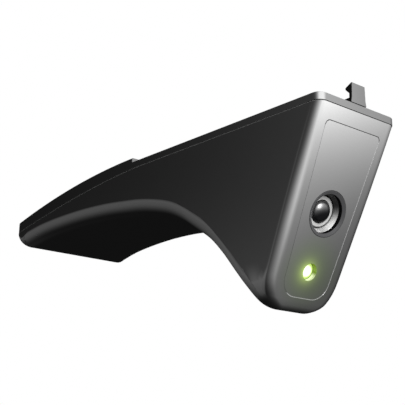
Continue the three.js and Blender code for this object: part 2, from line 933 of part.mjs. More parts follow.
function retainingRing() {
  return ringSolid([
    [glassRadius + seatGap, -ringSetback - hoodSetback / 2],
    [ringRadius, -ringSetback - hoodSetback / 2],
    [ringRadius, -ringSetback - hoodLip / 2],
    [ringRadius - hoodLip, -ringSetback],
    [glassRadius + 2 * seatGap, -ringSetback],
    [glassRadius + seatGap, -ringSetback - hoodLip / 2],
  ]);
}

function frontGlass() {
  const base = -ringSetback - hoodSetback + seatGap;
  const rise = -ringSetback - hoodLip;
  const profile = [
    [0, base],
    [glassRadius, base],
    [glassRadius, rise],
  ];
  for (let k = 1; k < glassSteps; k += 1) {
    const angle = (Math.PI / 2) * (k / glassSteps);
    profile.push([glassRadius * Math.cos(angle), rise + glassBulge * Math.sin(angle)]);
  }
  profile.push([0, rise + glassBulge]);
  return turnedSolid(profile);
}

function focusRing() {
  const inner = barrelNeck + runningGap;
  const back = -focusRingStart - focusRingLength;
  const shape = new THREE.Shape();
  const ribPoints = [];
  for (let k = 0; k < 2 * focusRibs; k += 1) {
    const angle = (Math.PI * k) / focusRibs;
    const radius = focusRingRadius - (k % 2) * focusRibDepth;
    ribPoints.push(new THREE.Vector2(radius * Math.cos(angle), radius * Math.sin(angle)));
  }
  shape.setFromPoints(ribPoints);
  const ring = plateSolid(shape, back, -focusRingStart);
  const bore = postSolid(0, 0, inner, back - overrun, overrun - focusRingStart, ringSides);
  const hole = radialSolid(lockScrewRadius + screwGap, inner - cameraWall, focusRingRadius + overrun);
  return cut(ring, bore, hole.translate([0, 0, back + focusRingLength / 2]));
}

// A cylinder that points out along the local Y axis
function radialSolid(radius, start, end) {
  const geometry = new THREE.CylinderGeometry(radius, radius, end - start, boltSides);
  geometry.translate(0, (start + end) / 2, 0);
  return solidOf(geometry);
}

function lockScrew() {
  const start = barrelNeck + runningGap;
  const stem = radialSolid(lockScrewRadius, start, focusRingRadius + lockScrewLength);
  const headStart = focusRingRadius + seatGap;
  const head = radialSolid(2 * lockScrewRadius, headStart, focusRingRadius + lockScrewLength);
  const middle = -focusRingStart - focusRingLength / 2;
  return stem.add(head).translate([0, 0, middle]);
}

function cameraBracket() {
  const high = -bracketSetback + bracketThickness;
  const plate = plateSolid(rectangle(bracketHalfWidth, bracketHalfHeight, bossRadius), -bracketSetback, high);
  const bore = postSolid(0, 0, barrelNeck + runningGap, -bracketSetback - overrun, overrun, ringSides);
  const holes = bracketScrewPlaces().map(({ x, y }) =>
    postSolid(x, y, screwRadius + screwGap, -bracketSetback - overrun, overrun),
  );
  return cut(plate, bore, ...holes);
}

const flangeBack = bracketSetback + seatGap + flangeLength;
const cameraFront = flangeBack + seatGap;
const cameraBack = cameraFront + cameraLength;

function lensFlange() {
  const front = -bracketSetback - seatGap;
  return ringSolid([
    [barrelNeck + runningGap, -flangeBack],
    [flangeRadius, -flangeBack],
    [flangeRadius, front],
    [barrelNeck + runningGap, front],
  ]);
}

function cameraHousing() {
  const block = plateSolid(rectangle(cameraHalf, cameraHalf, cameraWall), -cameraBack, -cameraFront);
  const inside = cameraHalf - cameraWall;
  const room = plateSolid(rectangle(inside, inside, 0), -cameraBack - overrun, -cameraFront - cameraWall);
  const bore = postSolid(0, 0, barrelNeck, -cameraBack, overrun, ringSides);
  return cut(block, room, bore);
}

const sensorBoardBack = cameraBack - cameraWall;

function sensorBoard() {
  const board = rectangle(sensorBoardHalf, sensorBoardHalf, 0);
  return plateSolid(board, -sensorBoardBack, -sensorBoardBack + boardThickness);
}

function imageSensor() {
  const low = -sensorBoardBack + boardThickness + seatGap;
  return plateSolid(rectangle(sensorHalf, sensorHalf, 0), low, low + sensorThickness);
}

// Status light pieces, in the face frame about the light's axis
function lightGuide() {
  const back = -lightBoardSetback + emitterHeight + 2 * seatGap;
  const rim = lightRadius - seatGap;
  const profile = [
    [0, back],
    [rim - hoodLip, back],
    [rim, back + hoodLip],
    [rim, -lightSetback - hoodLip],
    [rim - hoodLip, -lightSetback],
    [lightDomeRadius, -lightSetback - hoodLip],
  ];
  for (let k = 1; k < glassSteps; k += 1) {
    const angle = (Math.PI / 2) * (k / glassSteps);
    const rise = (lightDomeRadius / 2) * Math.sin(angle);
    profile.push([lightDomeRadius * Math.cos(angle), rise - lightSetback - hoodLip]);
  }
  profile.push([0, lightDomeRadius / 2 - lightSetback - hoodLip]);
  return turnedSolid(profile, lampSides);
}

function lightEmitter() {
  const low = -lightBoardSetback + seatGap;
  return plateSolid(rectangle(emitterHalf, emitterHalf, 0), low, low + emitterHeight);
}

function lightBoard() {
  const low = -lightBoardSetback - boardThickness;
  const board = plateSolid(rectangle(lightBoardHalf, lightBoardHalf, 0), low, -lightBoardSetback);
  const holes = lightScrewPlaces().map(({ x, y }) =>
    postSolid(x, y, screwRadius + screwGap, low - overrun, overrun - lightBoardSetback),
  );
  return cut(board, ...holes);
}

// Pieces on the main board
function mainBoard() {
  const low = [xAt(boardEnd), -boardHalfWidth, -boardTop - boardThickness];
  const board = boxSolid(low, [xAt(boardStart), boardHalfWidth, -boardTop]);
  const holes = boardScrewPlaces().map(({ x, y }) =>
    postSolid(x, y, screwRadius + screwGap, -boardTop - overrun, -boardTop + overrun),
  );
  return cut(board, ...holes);
}

function onBoard(back, y, halfLong, halfWide, height, lift = 0) {
  const low = -boardTop + seatGap + lift;
  return boxSolid(
    [xAt(back + halfLong), y - halfWide, low],
    [xAt(back - halfLong), y + halfWide, low + height],
  );
}

function heatSink() {
  const lift = chipThickness + seatGap;
  let sink = onBoard(chipBack, 0, sinkHalf, sinkHalf, sinkBase, lift);
  for (let k = 0; k < sinkFins; k += 1) {
    const y = THREE.MathUtils.lerp(-sinkHalf, sinkHalf - finThickness, k / (sinkFins - 1));
    sink = sink.add(onBoard(chipBack, y + finThickness / 2, sinkHalf, finThickness / 2, sinkHeight, lift));
  }
  return sink;
}

function inletBox(grow) {
  const low = -boardTop + seatGap;
  const rear = xAt(bodyLength) + socketSink;
  const reach = grow ? overrun : 0;
  return boxSolid(
    [rear - reach, -inletOut - inletHalfWidth - grow, low - grow],
    [rear + inletLength, -inletOut + inletHalfWidth + grow, low + inletHeight + grow],
  );
}

function powerInlet() {
  const rear = xAt(bodyLength) + socketSink;
  const middle = -boardTop + seatGap + inletHeight / 2;
  const bore = alongSolid(-inletOut, middle, inletBore, rear - overrun, rear + inletBoreDepth, 2 * boltSides);
  const pin = alongSolid(-inletOut, middle, inletPin, rear + inletPin, rear + inletBoreDepth + inletPin);
  return inletBox(0).subtract(bore).add(pin);
}

function dataBox(grow) {
  const low = -boardTop + seatGap;
  const rear = xAt(bodyLength) + socketSink;
  const reach = grow ? overrun : 0;
  return boxSolid(
    [rear - reach, dataOut - dataHalfWidth - grow, low - grow],
    [rear + dataLength, dataOut + dataHalfWidth + grow, low + dataHeight + grow],
  );
}

function dataSocket() {
  const rear = xAt(bodyLength) + socketSink;
  const low = -boardTop + seatGap;
  const mouth = boxSolid(
    [rear - overrun, dataOut - dataHalfWidth + dataWall, low + dataWall],
    [rear + dataDepth, dataOut + dataHalfWidth - dataWall, low + dataHeight - dataWall],
  );
  const tongueHalf = dataHalfWidth - 3 * dataWall;
  const middle = low + dataHeight / 2;
  const tongue = boxSolid(
    [rear + dataTongue, dataOut - tongueHalf, middle - dataTongue / 2],
    [rear + dataDepth + dataTongue, dataOut + tongueHalf, middle + dataTongue / 2],
  );
  return dataBox(0).subtract(mouth).add(tongue);
}

// Ribbon cables: a strip of even thickness along a side route
function ribbonSolid(route, width, middle = 0) {
  const curve = new THREE.SplineCurve(route);
  const upper = [];
  const lower = [];
  for (let k = 0; k <= ribbonSteps; k += 1) {
    const share = k / ribbonSteps;
    const point = curve.getPoint(share);
    const tangent = curve.getTangent(share);
    const normal = new THREE.Vector2(-tangent.y, tangent.x).multiplyScalar(ribbonThickness / 2);
    upper.push(point.clone().add(normal));
    lower.push(point.clone().sub(normal));
  }
  return acrossSolid(between(upper, lower), width / 2, middle);
}

// A place in X and Z, given by depth behind the face and distance down it
function behindFace(depth, down) {
  const point = facePoint(down).add(faceInward.clone().multiplyScalar(depth));
  return new THREE.Vector2(xAt(point.x), point.y);
}

function cameraRibbon() {
  const start = sensorBoardBack + ribbonThickness / 2 + seatGap;
  const boardZ = -boardTop + seatGap + ribbonThickness / 2;
  const bend = ribbonBend;
  return ribbonSolid(
    [
      behindFace(start, lensDepth + bend / 2),
      behindFace(start, lensDepth),
      behindFace(start + bend / 4, lensDepth - bend),
      behindFace(start + bend, lensDepth - 2 * bend),
      behindFace(start + 3 * bend, lensDepth - 3 * bend),
      new THREE.Vector2(xAt(boardStart - 4 * ribbonLoop), -boardTop + ribbonLoop / 5),
      new THREE.Vector2(xAt(boardStart - 2 * ribbonLoop), -boardTop + ribbonLoop / 2),
      new THREE.Vector2(xAt(boardStart - ribbonLoop / 2), boardZ + ribbonLoop / 8),
      new THREE.Vector2(xAt(boardStart - ribbonLoop / 8), boardZ + ribbonThickness),
      new THREE.Vector2(xAt(boardStart + ribbonLoop / 8), boardZ),
      new THREE.Vector2(xAt(boardStart + ribbonLoop / 3), boardZ),
    ],
    cameraRibbonWidth,
  );
}

function lightRibbon() {
  const boardBack = lightBoardSetback + boardThickness + seatGap + ribbonThickness / 2;
  const sensorBack = sensorBoardBack + seatGap + ribbonThickness / 2;
  const low = lensDepth + cameraHalf;
  const bend = ribbonBend;
  return ribbonSolid(
    [
      behindFace(boardBack, lightDepth + bend / 2),
      behindFace(boardBack, lightDepth),
      behindFace(boardBack + bend / 4, lightDepth - bend),
      behindFace(boardBack + bend, lightDepth - 2 * bend),
      behindFace(boardBack + 4 * bend, lightDepth - 3 * bend),
      behindFace(cameraBack - bend, low + 2 * bend),
      behindFace(cameraBack + bend, low + bend),
      behindFace(cameraBack + bend / 2, low - bend),
      behindFace(sensorBack + bend / 4, low - 2 * bend),
      behindFace(sensorBack, low - 3 * bend),
    ],
    lightRibbonWidth,
  );
}

// Finishes
const finishes = {
  shell: { color: 0x2b2b2d, roughness: 0.45, metalness: 0.2 },
  cover: { color: 0x242426, roughness: 0.45, metalness: 0.2 },
  silver: { color: 0xa9abad, roughness: 0.35, metalness: 0.7 },
  bezel: { color: 0x4a4a4c, roughness: 0.4, metalness: 0.5 },
  bright: { color: 0xd8d8d6, roughness: 0.2, metalness: 1 },
  glass: { color: 0x101214, roughness: 0.05, metalness: 0 },
  light: { color: 0xb8ff4a, roughness: 0.3, metalness: 0 },
  hook: { color: 0x8c8c8e, roughness: 0.4, metalness: 0.5 },
  steel: { color: 0x8a8c8e, roughness: 0.35, metalness: 1 },
  board: { color: 0x16502a, roughness: 0.6, metalness: 0 },
  chip: { color: 0x1a1a1a, roughness: 0.5, metalness: 0 },
  alloy: { color: 0x9a9c9e, roughness: 0.4, metalness: 1 },
  black: { color: 0x151515, roughness: 0.5, metalness: 0 },
  ribbon: { color: 0xc9a45a, roughness: 0.5, metalness: 0 },
};

function addPiece(group, name, solid, finish) {
  const mesh = new THREE.Mesh(geometryOf(solid), new THREE.MeshStandardMaterial(finishes[finish]));
  mesh.name = name;
  group.add(mesh);
  return mesh;
}

function addScrews(group, name, places, length, headDown) {
  places.forEach(({ x, y, seat }, i) => {
    const mesh = addPiece(group, name + "_" + (i + 1), screwSolid(length), "steel");
    if (headDown) mesh.rotation.x = Math.PI;
    mesh.position.set(x, y, seat);
  });
}

// Assembly
const monitor = new THREE.Group();
const lensGroup = new THREE.Group();
const lightGroup = new THREE.Group();
const faceGroup = new THREE.Group();
faceGroup.applyMatrix4(faceFrame);
lensGroup.position.y = -lensDepth;
lightGroup.position.y = -lightDepth;
faceGroup.add(lensGroup, lightGroup);
monitor.add(faceGroup);

addPiece(monitor, "body_shell", bodyShell(), "shell");
addPiece(monitor, "top_cover", topCover(), "cover");
addPiece(faceGroup, "front_panel", frontPanel(), "silver");
addScrews(monitor, "cover_screw", coverScrewPlaces(), screwLength, false);

addPiece(monitor, "latch_hook", latchHook(), "hook");
addPiece(monitor, "latch_pin", latchPin(), "steel");
addPiece(monitor, "latch_spring", latchSpring(), "steel");
addPiece(monitor, "latch_guide", latchGuide(), "black");
const guideScrewSeat = -coverWall - guideDrop - guideThickness - 2 * seatGap;
const guidePlaces = [-guideScrewOut, guideScrewOut].map((y) => {
  return { x: xAt(guideScrewBack), y, seat: guideScrewSeat };
});
addScrews(monitor, "guide_screw", guidePlaces, boardScrewLength, true);

addPiece(lensGroup, "lens_bezel", lensBezel(), "bezel");
addPiece(lensGroup, "lens_barrel", lensBarrel(), "bright");
addPiece(lensGroup, "lens_retaining_ring", retainingRing(), "bright");
addPiece(lensGroup, "lens_front_glass", frontGlass(), "glass");
addPiece(lensGroup, "focus_ring", focusRing(), "black");
addPiece(lensGroup, "focus_lock_screw", lockScrew(), "steel");
addPiece(lensGroup, "lens_flange", lensFlange(), "alloy");
addPiece(lensGroup, "camera_bracket", cameraBracket(), "alloy");
addPiece(lensGroup, "camera_housing", cameraHousing(), "black");
addPiece(lensGroup, "sensor_board", sensorBoard(), "board");
addPiece(lensGroup, "image_sensor", imageSensor(), "chip");
const bracketSeat = -bracketSetback - seatGap;
const bracketPlaces = bracketScrewPlaces().map(({ x, y }) => ({ x, y, seat: bracketSeat }));
addScrews(lensGroup, "bracket_screw", bracketPlaces, boardScrewLength, true);

addPiece(lightGroup, "light_guide", lightGuide(), "light");
addPiece(lightGroup, "light_emitter", lightEmitter(), "chip");
addPiece(lightGroup, "light_board", lightBoard(), "board");
const lightSeat = -lightBoardSetback - boardThickness - seatGap;
const lightPlaces = lightScrewPlaces().map(({ x, y }) => ({ x, y, seat: lightSeat }));
addScrews(lightGroup, "light_screw", lightPlaces, lightScrewLength, true);

addPiece(monitor, "main_board", mainBoard(), "board");
const boardSeat = -boardTop + seatGap;
const boardPlaces = boardScrewPlaces().map(({ x, y }) => ({ x, y, seat: boardSeat }));
addScrews(monitor, "board_screw", boardPlaces, boardScrewLength, false);
addPiece(monitor, "processor", onBoard(chipBack, 0, chipHalf, chipHalf, chipThickness), "chip");
addPiece(monitor, "heat_sink", heatSink(), "alloy");
[-memoryOut, memoryOut].forEach((y, i) => {
  const chip = onBoard(memoryBack, y, memoryLength / 2, memoryWidth / 2, memoryThickness);
  addPiece(monitor, "memory_chip_" + (i + 1), chip, "chip");
});
const coil = onBoard(coilBack, coilOut, coilSize / 2, coilSize / 2, coilHeight);
addPiece(monitor, "power_inductor", coil, "chip");
addPiece(monitor, "power_inlet", powerInlet(), "black");
addPiece(monitor, "data_socket", dataSocket(), "steel");
addPiece(monitor, "camera_ribbon", cameraRibbon(), "ribbon");
addPiece(monitor, "light_ribbon", lightRibbon(), "ribbon");

export default monitor;
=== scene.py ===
import logging
import math
from contextlib import contextmanager
from dataclasses import dataclass, replace
from enum import Enum
from typing import Iterable, Iterator, Mapping, Optional, Sequence

import bmesh
import bpy
from mathutils import Matrix, Vector


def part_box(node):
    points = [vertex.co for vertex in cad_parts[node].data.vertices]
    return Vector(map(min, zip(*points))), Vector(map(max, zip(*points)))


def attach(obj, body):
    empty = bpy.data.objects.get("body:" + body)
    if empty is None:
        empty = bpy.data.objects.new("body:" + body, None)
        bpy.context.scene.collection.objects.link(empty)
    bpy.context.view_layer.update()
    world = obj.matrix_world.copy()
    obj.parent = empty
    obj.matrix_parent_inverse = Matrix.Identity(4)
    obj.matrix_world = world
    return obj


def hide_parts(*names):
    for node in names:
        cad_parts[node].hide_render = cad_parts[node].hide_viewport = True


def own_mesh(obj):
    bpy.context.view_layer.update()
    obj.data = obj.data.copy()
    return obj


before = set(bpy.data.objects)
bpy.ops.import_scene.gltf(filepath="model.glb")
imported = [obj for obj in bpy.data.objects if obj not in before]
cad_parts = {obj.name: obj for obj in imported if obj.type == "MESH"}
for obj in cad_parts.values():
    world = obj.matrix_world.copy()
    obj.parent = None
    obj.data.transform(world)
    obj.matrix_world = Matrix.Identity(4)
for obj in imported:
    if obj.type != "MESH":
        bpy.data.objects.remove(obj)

LOG = logging.getLogger("launch_monitor")
MM = 0.001
QUARTER = math.pi / 2
Point = tuple[float, float, float]
Flat = tuple[float, float]
Shade = tuple[float, float, float, float]
Mesh = bpy.types.Mesh
Object = bpy.types.Object
Node = bpy.types.Node
Socket = bpy.types.NodeSocket


class Body(str, Enum):
    """The bodies that the pieces ride on."""

    HOUSING = "housing"
    LATCH = "latch"
    FOCUS = "focus"


# ---------------------------------------------------------------- mesh helpers

SAME_PLACE = 1e-7
HARD_ANGLE = math.radians(32)
TURN_STEPS = 4
ROUND_CHORDS = 3


def new_object(name: str, mesh: Mesh) -> Object:
    """Links a mesh to the scene as an object at the origin.

    Args:
        name: the object's name.
        mesh: its mesh, in metres.

    Returns:
        The new object.
    """
    mesh.name = name
    piece = bpy.data.objects.new(name, mesh)
    bpy.context.scene.collection.objects.link(piece)
    return piece


@contextmanager
def editing(mesh: Mesh) -> Iterator[bmesh.types.BMesh]:
    """Opens a mesh for editing, and writes it back afterwards.

    Args:
        mesh: the mesh.

    Yields:
        Its editable form.
    """
    form = bmesh.new()
    form.from_mesh(mesh)
    yield form
    form.to_mesh(mesh)
    form.free()


def outward(mesh: Mesh) -> Mesh:
    """Joins corners that share a place and makes a closed surface face outwards.

    Args:
        mesh: the mesh, whose faces all turn the same way.

    Returns:
        The same mesh.
    """
    with editing(mesh) as form:
        bmesh.ops.remove_doubles(form, verts=form.verts, dist=SAME_PLACE)
        if form.calc_volume(signed=True) < 0:
            bmesh.ops.reverse_faces(form, faces=form.faces)
    return mesh


def mesh_of(points: Sequence[Point], faces: Sequence[Sequence[int]] = ()) -> Mesh:
    """Makes a mesh in metres, from corners in millimetres and the corner numbers of its faces."""
    mesh = bpy.data.meshes.new("mesh")
    mesh.from_pydata([Vector(p) * MM for p in points], [], faces)
    return mesh


def evaluated_mesh(piece: Object) -> Mesh:
    """Takes a piece's mesh with its modifiers worked in, and clears them.

    Args:
        piece: the object, whose modifiers are removed.

    Returns:
        The plain mesh.
    """
    bpy.context.view_layer.update()
    graph = bpy.context.evaluated_depsgraph_get()
    mesh = bpy.data.meshes.new_from_object(piece.evaluated_get(graph))
    piece.modifiers.clear()
    return mesh


def smooth(mesh: Mesh) -> Mesh:
    """Shades a mesh smooth between its hard edges, with its broad faces kept flat.

    Args:
        mesh: the mesh to shade.

    Returns:
        The same mesh.
    """
    mesh.polygons.foreach_set("use_smooth", [True] * len(mesh.polygons))
    mesh.set_sharp_from_angle(angle=HARD_ANGLE)
    holder = new_object("weighted", mesh)
    holder.modifiers.new("weights", "WEIGHTED_NORMAL").keep_sharp = True
    done = evaluated_mesh(holder)
    bpy.data.objects.remove(holder)
    mesh.normals_split_custom_set([corner.vector for corner in done.corner_normals])
    bpy.data.meshes.remove(done)
    mesh.update()
    return mesh


def combine(piece: Object, tool: Mesh, kind: str) -> None:
    """Joins a tool mesh to a piece, or cuts it away.

    Args:
        piece: the object to change.
        tool: closed mesh of the tool.
        kind: "UNION" or "DIFFERENCE".
    """
    helper = new_object("tool", tool)
    modifier = piece.modifiers.new("combine", "BOOLEAN")
    modifier.operation = kind
    modifier.solver = "MANIFOLD"
    modifier.object = helper
    old = piece.data
    piece.data = evaluated_mesh(piece)
    bpy.data.objects.remove(helper)
    bpy.data.meshes.remove(old)


def rounded(corners: Sequence[Point], steps: int) -> list[Flat]:
    """Rounds the corners of a closed outline.

    Args:
        corners: across, up and radius of each corner, in order.
        steps: number of chords in each round.

    Returns:
        The points of the outline.
    """
    points: list[Flat] = []
    for i, (x, y, radius) in enumerate(corners):
        if radius <= 0:
            points.append((x, y))
            continue
        here = Vector((x, y))
        before = (Vector(corners[i - 1][:2]) - here).normalized()
        after = (Vector(corners[(i + 1) % len(corners)][:2]) - here).normalized()
        half = before.angle(after) / 2
        centre = here + (before + after).normalized() * radius / math.sin(half)
        reach = radius / math.tan(half)
        start, end = here + before * reach - centre, here + after * reach - centre
        sweep = math.atan2(start.x * end.y - start.y * end.x, start.dot(end))
        for k in range(steps + 1):
            spoke = Matrix.Rotation(sweep * k / steps, 2) @ start
            points.append((centre.x + spoke.x, centre.y + spoke.y))
    return points


def softened(profile: Sequence[Flat], radius: float, closed: bool) -> list[Flat]:
    """Rounds the corners of a turned profile, less where its sides are short.

    Args:
        profile: radius and height of each corner.
        radius: the round wanted, in millimetres.
        closed: whether the last corner runs on to the first.

    Returns:
        The softened profile.
    """
    share, nearly_straight = 0.42, math.radians(80)
    out: list[Flat] = []
    for i, point in enumerate(profile):
        here = Vector(point)
        before = Vector(profile[i - 1]) - here
        after = Vector(profile[(i + 1) % len(profile)]) - here
        half = before.angle(after) / 2
        if half > nearly_straight or not closed and i in (0, len(profile) - 1):
            out.append(point)
            continue
        reach = min(radius / math.tan(half), share * before.length, share * after.length)
        start = here + before.normalized() * reach
        end = here + after.normalized() * reach
        for k in range(TURN_STEPS + 1):
            t = k / TURN_STEPS
            spot = start * (1 - t) ** 2 + here * (2 * t * (1 - t)) + end * t**2
            out.append((spot.x, spot.y))
    return out


def turned(profile: Sequence[Flat], closed: bool, sides: int, soft: float = 0.0) -> Mesh:
    """Turns a profile about the local Z axis.

    Args:
        profile: radius and height of each corner, in millimetres.
        closed: True for a ring, False for a profile that starts and ends on the axis.
        sides: number of sides round the axis.
        soft: round of the profile's corners.

    Returns:
        The closed mesh.
    """
    points: list[Point] = []
    rings: list[list[int]] = []
    for radius, height in softened(profile, soft, closed) if soft else profile:
        if radius < 1e-6:
            rings.append([len(points)] * sides)
            points.append((0.0, 0.0, height))
            continue
        rings.append(list(range(len(points), len(points) + sides)))
        turns = (2 * math.pi * k / sides for k in range(sides))
        points += [(radius * math.cos(a), radius * math.sin(a), height) for a in turns]
    faces = []
    for low, high in zip(rings, rings[1:] + rings[:1] if closed else rings[1:]):
        for k in range(sides):
            n = (k + 1) % sides
            corner = [low[k], low[n], high[n], high[k]]
            faces.append([c for i, c in enumerate(corner) if c != corner[i - 1]])
    return outward(mesh_of(points, [f for f in faces if len(f) > 2]))


def plate(outlines: Sequence[Sequence[Flat]], low: float, high: float, soft: float = 0.0) -> Mesh:
    """Makes a flat plate with holes and softened rims.

    Args:
        outlines: the outer outline, then each hole, in millimetres.
        low: height of the lower face.
        high: height of the upper face.
        soft: round of the rims.

    Returns:
        The closed mesh, in metres.
    """
    curve = bpy.data.curves.new("plate", "CURVE")
    curve.dimensions = "2D"
    curve.fill_mode = "BOTH"
    curve.extrude = ((high - low) / 2 - soft) * MM
    curve.bevel_depth = soft * MM
    curve.bevel_resolution = 2
    curve.offset = -soft * MM
    for outline in outlines:
        spline = curve.splines.new("POLY")
        spline.points.add(len(outline) - 1)
        for point, (x, y) in zip(spline.points, outline):
            point.co = (x * MM, y * MM, 0, 1)
        spline.use_cyclic_u = True
    holder = bpy.data.objects.new("plate", curve)
    bpy.context.scene.collection.objects.link(holder)
    mesh = evaluated_mesh(holder)
    bpy.data.objects.remove(holder)
    bpy.data.curves.remove(curve)
    mesh.transform(Matrix.Translation((0, 0, (low + high) / 2 * MM)))
    return outward(mesh)


def post(place: Point, radius: float, high: float, sides: int = 40) -> Mesh:
    """Makes an upright cylinder from a foot to a height.

    Args:
        place: centre of its foot, in millimetres.
        radius: its radius.
        high: height of its top.
        sides: number of sides.

    Returns:
        The closed mesh.
    """
    x, y, low = place
    mesh = turned([(0, low), (radius, low), (radius, high), (0, high)], False, sides)
    mesh.transform(Matrix.Translation((x * MM, y * MM, 0)))
    return mesh


def block(low: Point, high: Point) -> Mesh:
    """Makes a plain block for cutting.

    Args:
        low: its lowest corner, in millimetres.
        high: its highest corner.

    Returns:
        The closed mesh.
    """
    mesh = bpy.data.meshes.new("block")
    with editing(mesh) as form:
        bmesh.ops.create_cube(form, size=1.0)
    size = [(b - a) * MM for a, b in zip(low, high)]
    middle = [(a + b) / 2 * MM for a, b in zip(low, high)]
    mesh.transform(Matrix.Translation(middle) @ Matrix.Diagonal((*size, 1)))
    return mesh


def gathered(meshes: Iterable[Mesh]) -> Mesh:
    """Puts separate meshes together in one.

    Args:
        meshes: the meshes, which are removed.

    Returns:
        The one mesh.
    """
    out = bpy.data.meshes.new("gathered")
    with editing(out) as form:
        for mesh in meshes:
            form.from_mesh(mesh)
            bpy.data.meshes.remove(mesh)
    return out


def refined(node: str, name: str, soft: float) -> Object:
    """Copies a node of the frame and rounds its hard edges.

    Args:
        node: the CAD node to copy.
        name: the new piece's name.
        soft: width of the rounds, in millimetres.

    Returns:
        The new piece.
    """
    same_place, flat, sharp = 2e-6, math.radians(1), math.radians(30)
    mesh = bpy.data.meshes.new(name)
    with editing(mesh) as form:
        form.from_mesh(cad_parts[node].data)
        bmesh.ops.remove_doubles(form, verts=form.verts, dist=same_place)
        bmesh.ops.dissolve_limit(form, angle_limit=flat, verts=form.verts, edges=form.edges)
        hard = [e for e in form.edges if len(e.link_faces) == 2 and e.calc_face_angle(0) > sharp]
        bevel = {"offset_type": "OFFSET", "profile": 0.5, "affect": "EDGES", "clamp_overlap": True}
        bmesh.ops.bevel(form, geom=hard, offset=soft * MM, segments=ROUND_CHORDS, **bevel)
    return new_object(name, smooth(mesh))


# ---------------------------------------------------------------- node wiring


class Term:
    """A number inside a node tree, so that formulas read as arithmetic."""

    def __init__(self, wiring: "Wiring", socket: Socket) -> None:
        """Takes the output that gives the number."""
        self.wiring, self.socket = wiring, socket

    def __add__(self, other: object) -> "Term":
        """Adds another number."""
        return self.wiring.math("ADD", self, other)

    def __sub__(self, other: object) -> "Term":
        """Takes another number away."""
        return self.wiring.math("SUBTRACT", self, other)

    def __rsub__(self, other: float) -> "Term":
        """Takes this number away from a plain one."""
        return self.wiring.math("SUBTRACT", other, self)

    def __mul__(self, other: object) -> "Term":
        """Multiplies by another number."""
        return self.wiring.math("MULTIPLY", self, other)

    def __truediv__(self, other: object) -> "Term":
        """Divides by another number."""
        return self.wiring.math("DIVIDE", self, other)

    def exp(self) -> "Term":
        """Raises e to this number."""
        return self.wiring.math("EXPONENT", self)

    def fade(self, low: float, high: float, start: float = 0.0, end: float = 1.0) -> "Term":
        """Adds a smooth step between two values of this number.

        Args:
            low: where the step starts.
            high: where it ends.
            start: result at and before its start.
            end: result at and after its end.

        Returns:
            The stepped number.
        """
        keys = ("Value", "From Min", "From Max", "To Min", "To Max")
        inputs = dict(zip(keys, (self, low, high, start, end)))
        made = self.wiring.node("ShaderNodeMapRange", inputs, interpolation_type="SMOOTHSTEP", clamp=True)
        return Term(self.wiring, made.outputs["Result"])


class Wiring:
    """A node tree being wired, with short calls for its nodes and links."""

    def __init__(self, tree: bpy.types.NodeTree) -> None:
        """Takes the tree to wire."""
        self.tree = tree

    def node(self, kind: str, inputs: Optional[Mapping[str, object]] = None, **settings: object) -> Node:
        """Adds a node.

        Args:
            kind: the node's type name.
            inputs: what each named input gets.
            settings: attributes to set on it first.

        Returns:
            The node.
        """
        made = self.tree.nodes.new(kind)
        for key, value in settings.items():
            setattr(made, key, value)
        self.fill(made, inputs or {})
        return made

    def fill(self, node: Node, inputs: Mapping[str, object]) -> None:
        """Feeds a node's named inputs."""
        for key, value in inputs.items():
            self.feed(node.inputs[key], value)

    def feed(self, socket: Socket, value: object) -> None:
        """Links or sets one input.

        Args:
            socket: the input.
            value: a plain value, a term or an output, or a list of outputs that it joins.
        """
        for item in value if isinstance(value, list) else [value]:
            source = item.socket if isinstance(item, Term) else item
            if isinstance(source, Socket):
                self.tree.links.new(source, socket)
            else:
                socket.default_value = source

    def math(self, operation: str, *values: object, clamp: bool = False) -> Term:
        """Adds a Math node.

        Args:
            operation: its operation.
            values: terms or numbers to feed it.
            clamp: whether its result stays within 0 and 1.

        Returns:
            Its result.
        """
        made = self.node("ShaderNodeMath", operation=operation, use_clamp=clamp)
        for socket, value in zip(made.inputs, values):
            self.feed(socket, value)
        return Term(self, made.outputs[0])

    def vector(self, operation: str, *values: object) -> Node:
        """Adds a Vector Math node.

        Args:
            operation: its operation.
            values: outputs or vectors to feed it.

        Returns:
            The node.
        """
        made = self.node("ShaderNodeVectorMath", operation=operation)
        for socket, value in zip(made.inputs, values):
            self.feed(socket, value)
        return made

    def moved(self, operation: str, *values: object) -> Socket:
        """Gives the vector that a Vector Math node puts out."""
        return self.vector(operation, *values).outputs["Vector"]

    def measured(self, operation: str, *values: object) -> Term:
        """Gives the number that a Vector Math node puts out."""
        return Term(self, self.vector(operation, *values).outputs["Value"])

    def scaled(self, vector: object, factor: Term) -> Socket:
        """Gives a vector or a colour times a number."""
        made = self.vector("SCALE", vector)
        self.feed(made.inputs["Scale"], factor)
        return made.outputs["Vector"]

    def split(self, vector: Socket) -> list[Term]:
        """Gives the three parts of a vector."""
        made = self.node("ShaderNodeSeparateXYZ", {"Vector": vector})
        return [Term(self, output) for output in made.outputs]

    def xyz(self, x: object = 0.0, y: object = 0.0, z: object = 0.0) -> Socket:
        """Gives a vector from its three parts."""
        return self.node("ShaderNodeCombineXYZ", {"X": x, "Y": y, "Z": z}).outputs[0]

    def mix(self, share: Term, first: object, second: object) -> Socket:
        """Mixes two colours.

        Args:
            share: share of the second.
            first: colour or output.
            second: colour or output.

        Returns:
            The mixed colour.
        """
        made = self.node("ShaderNodeMix", data_type="RGBA", clamp_factor=True)
        for index, value in ((0, share), (6, first), (7, second)):
            self.feed(made.inputs[index], value)
        return made.outputs[2]


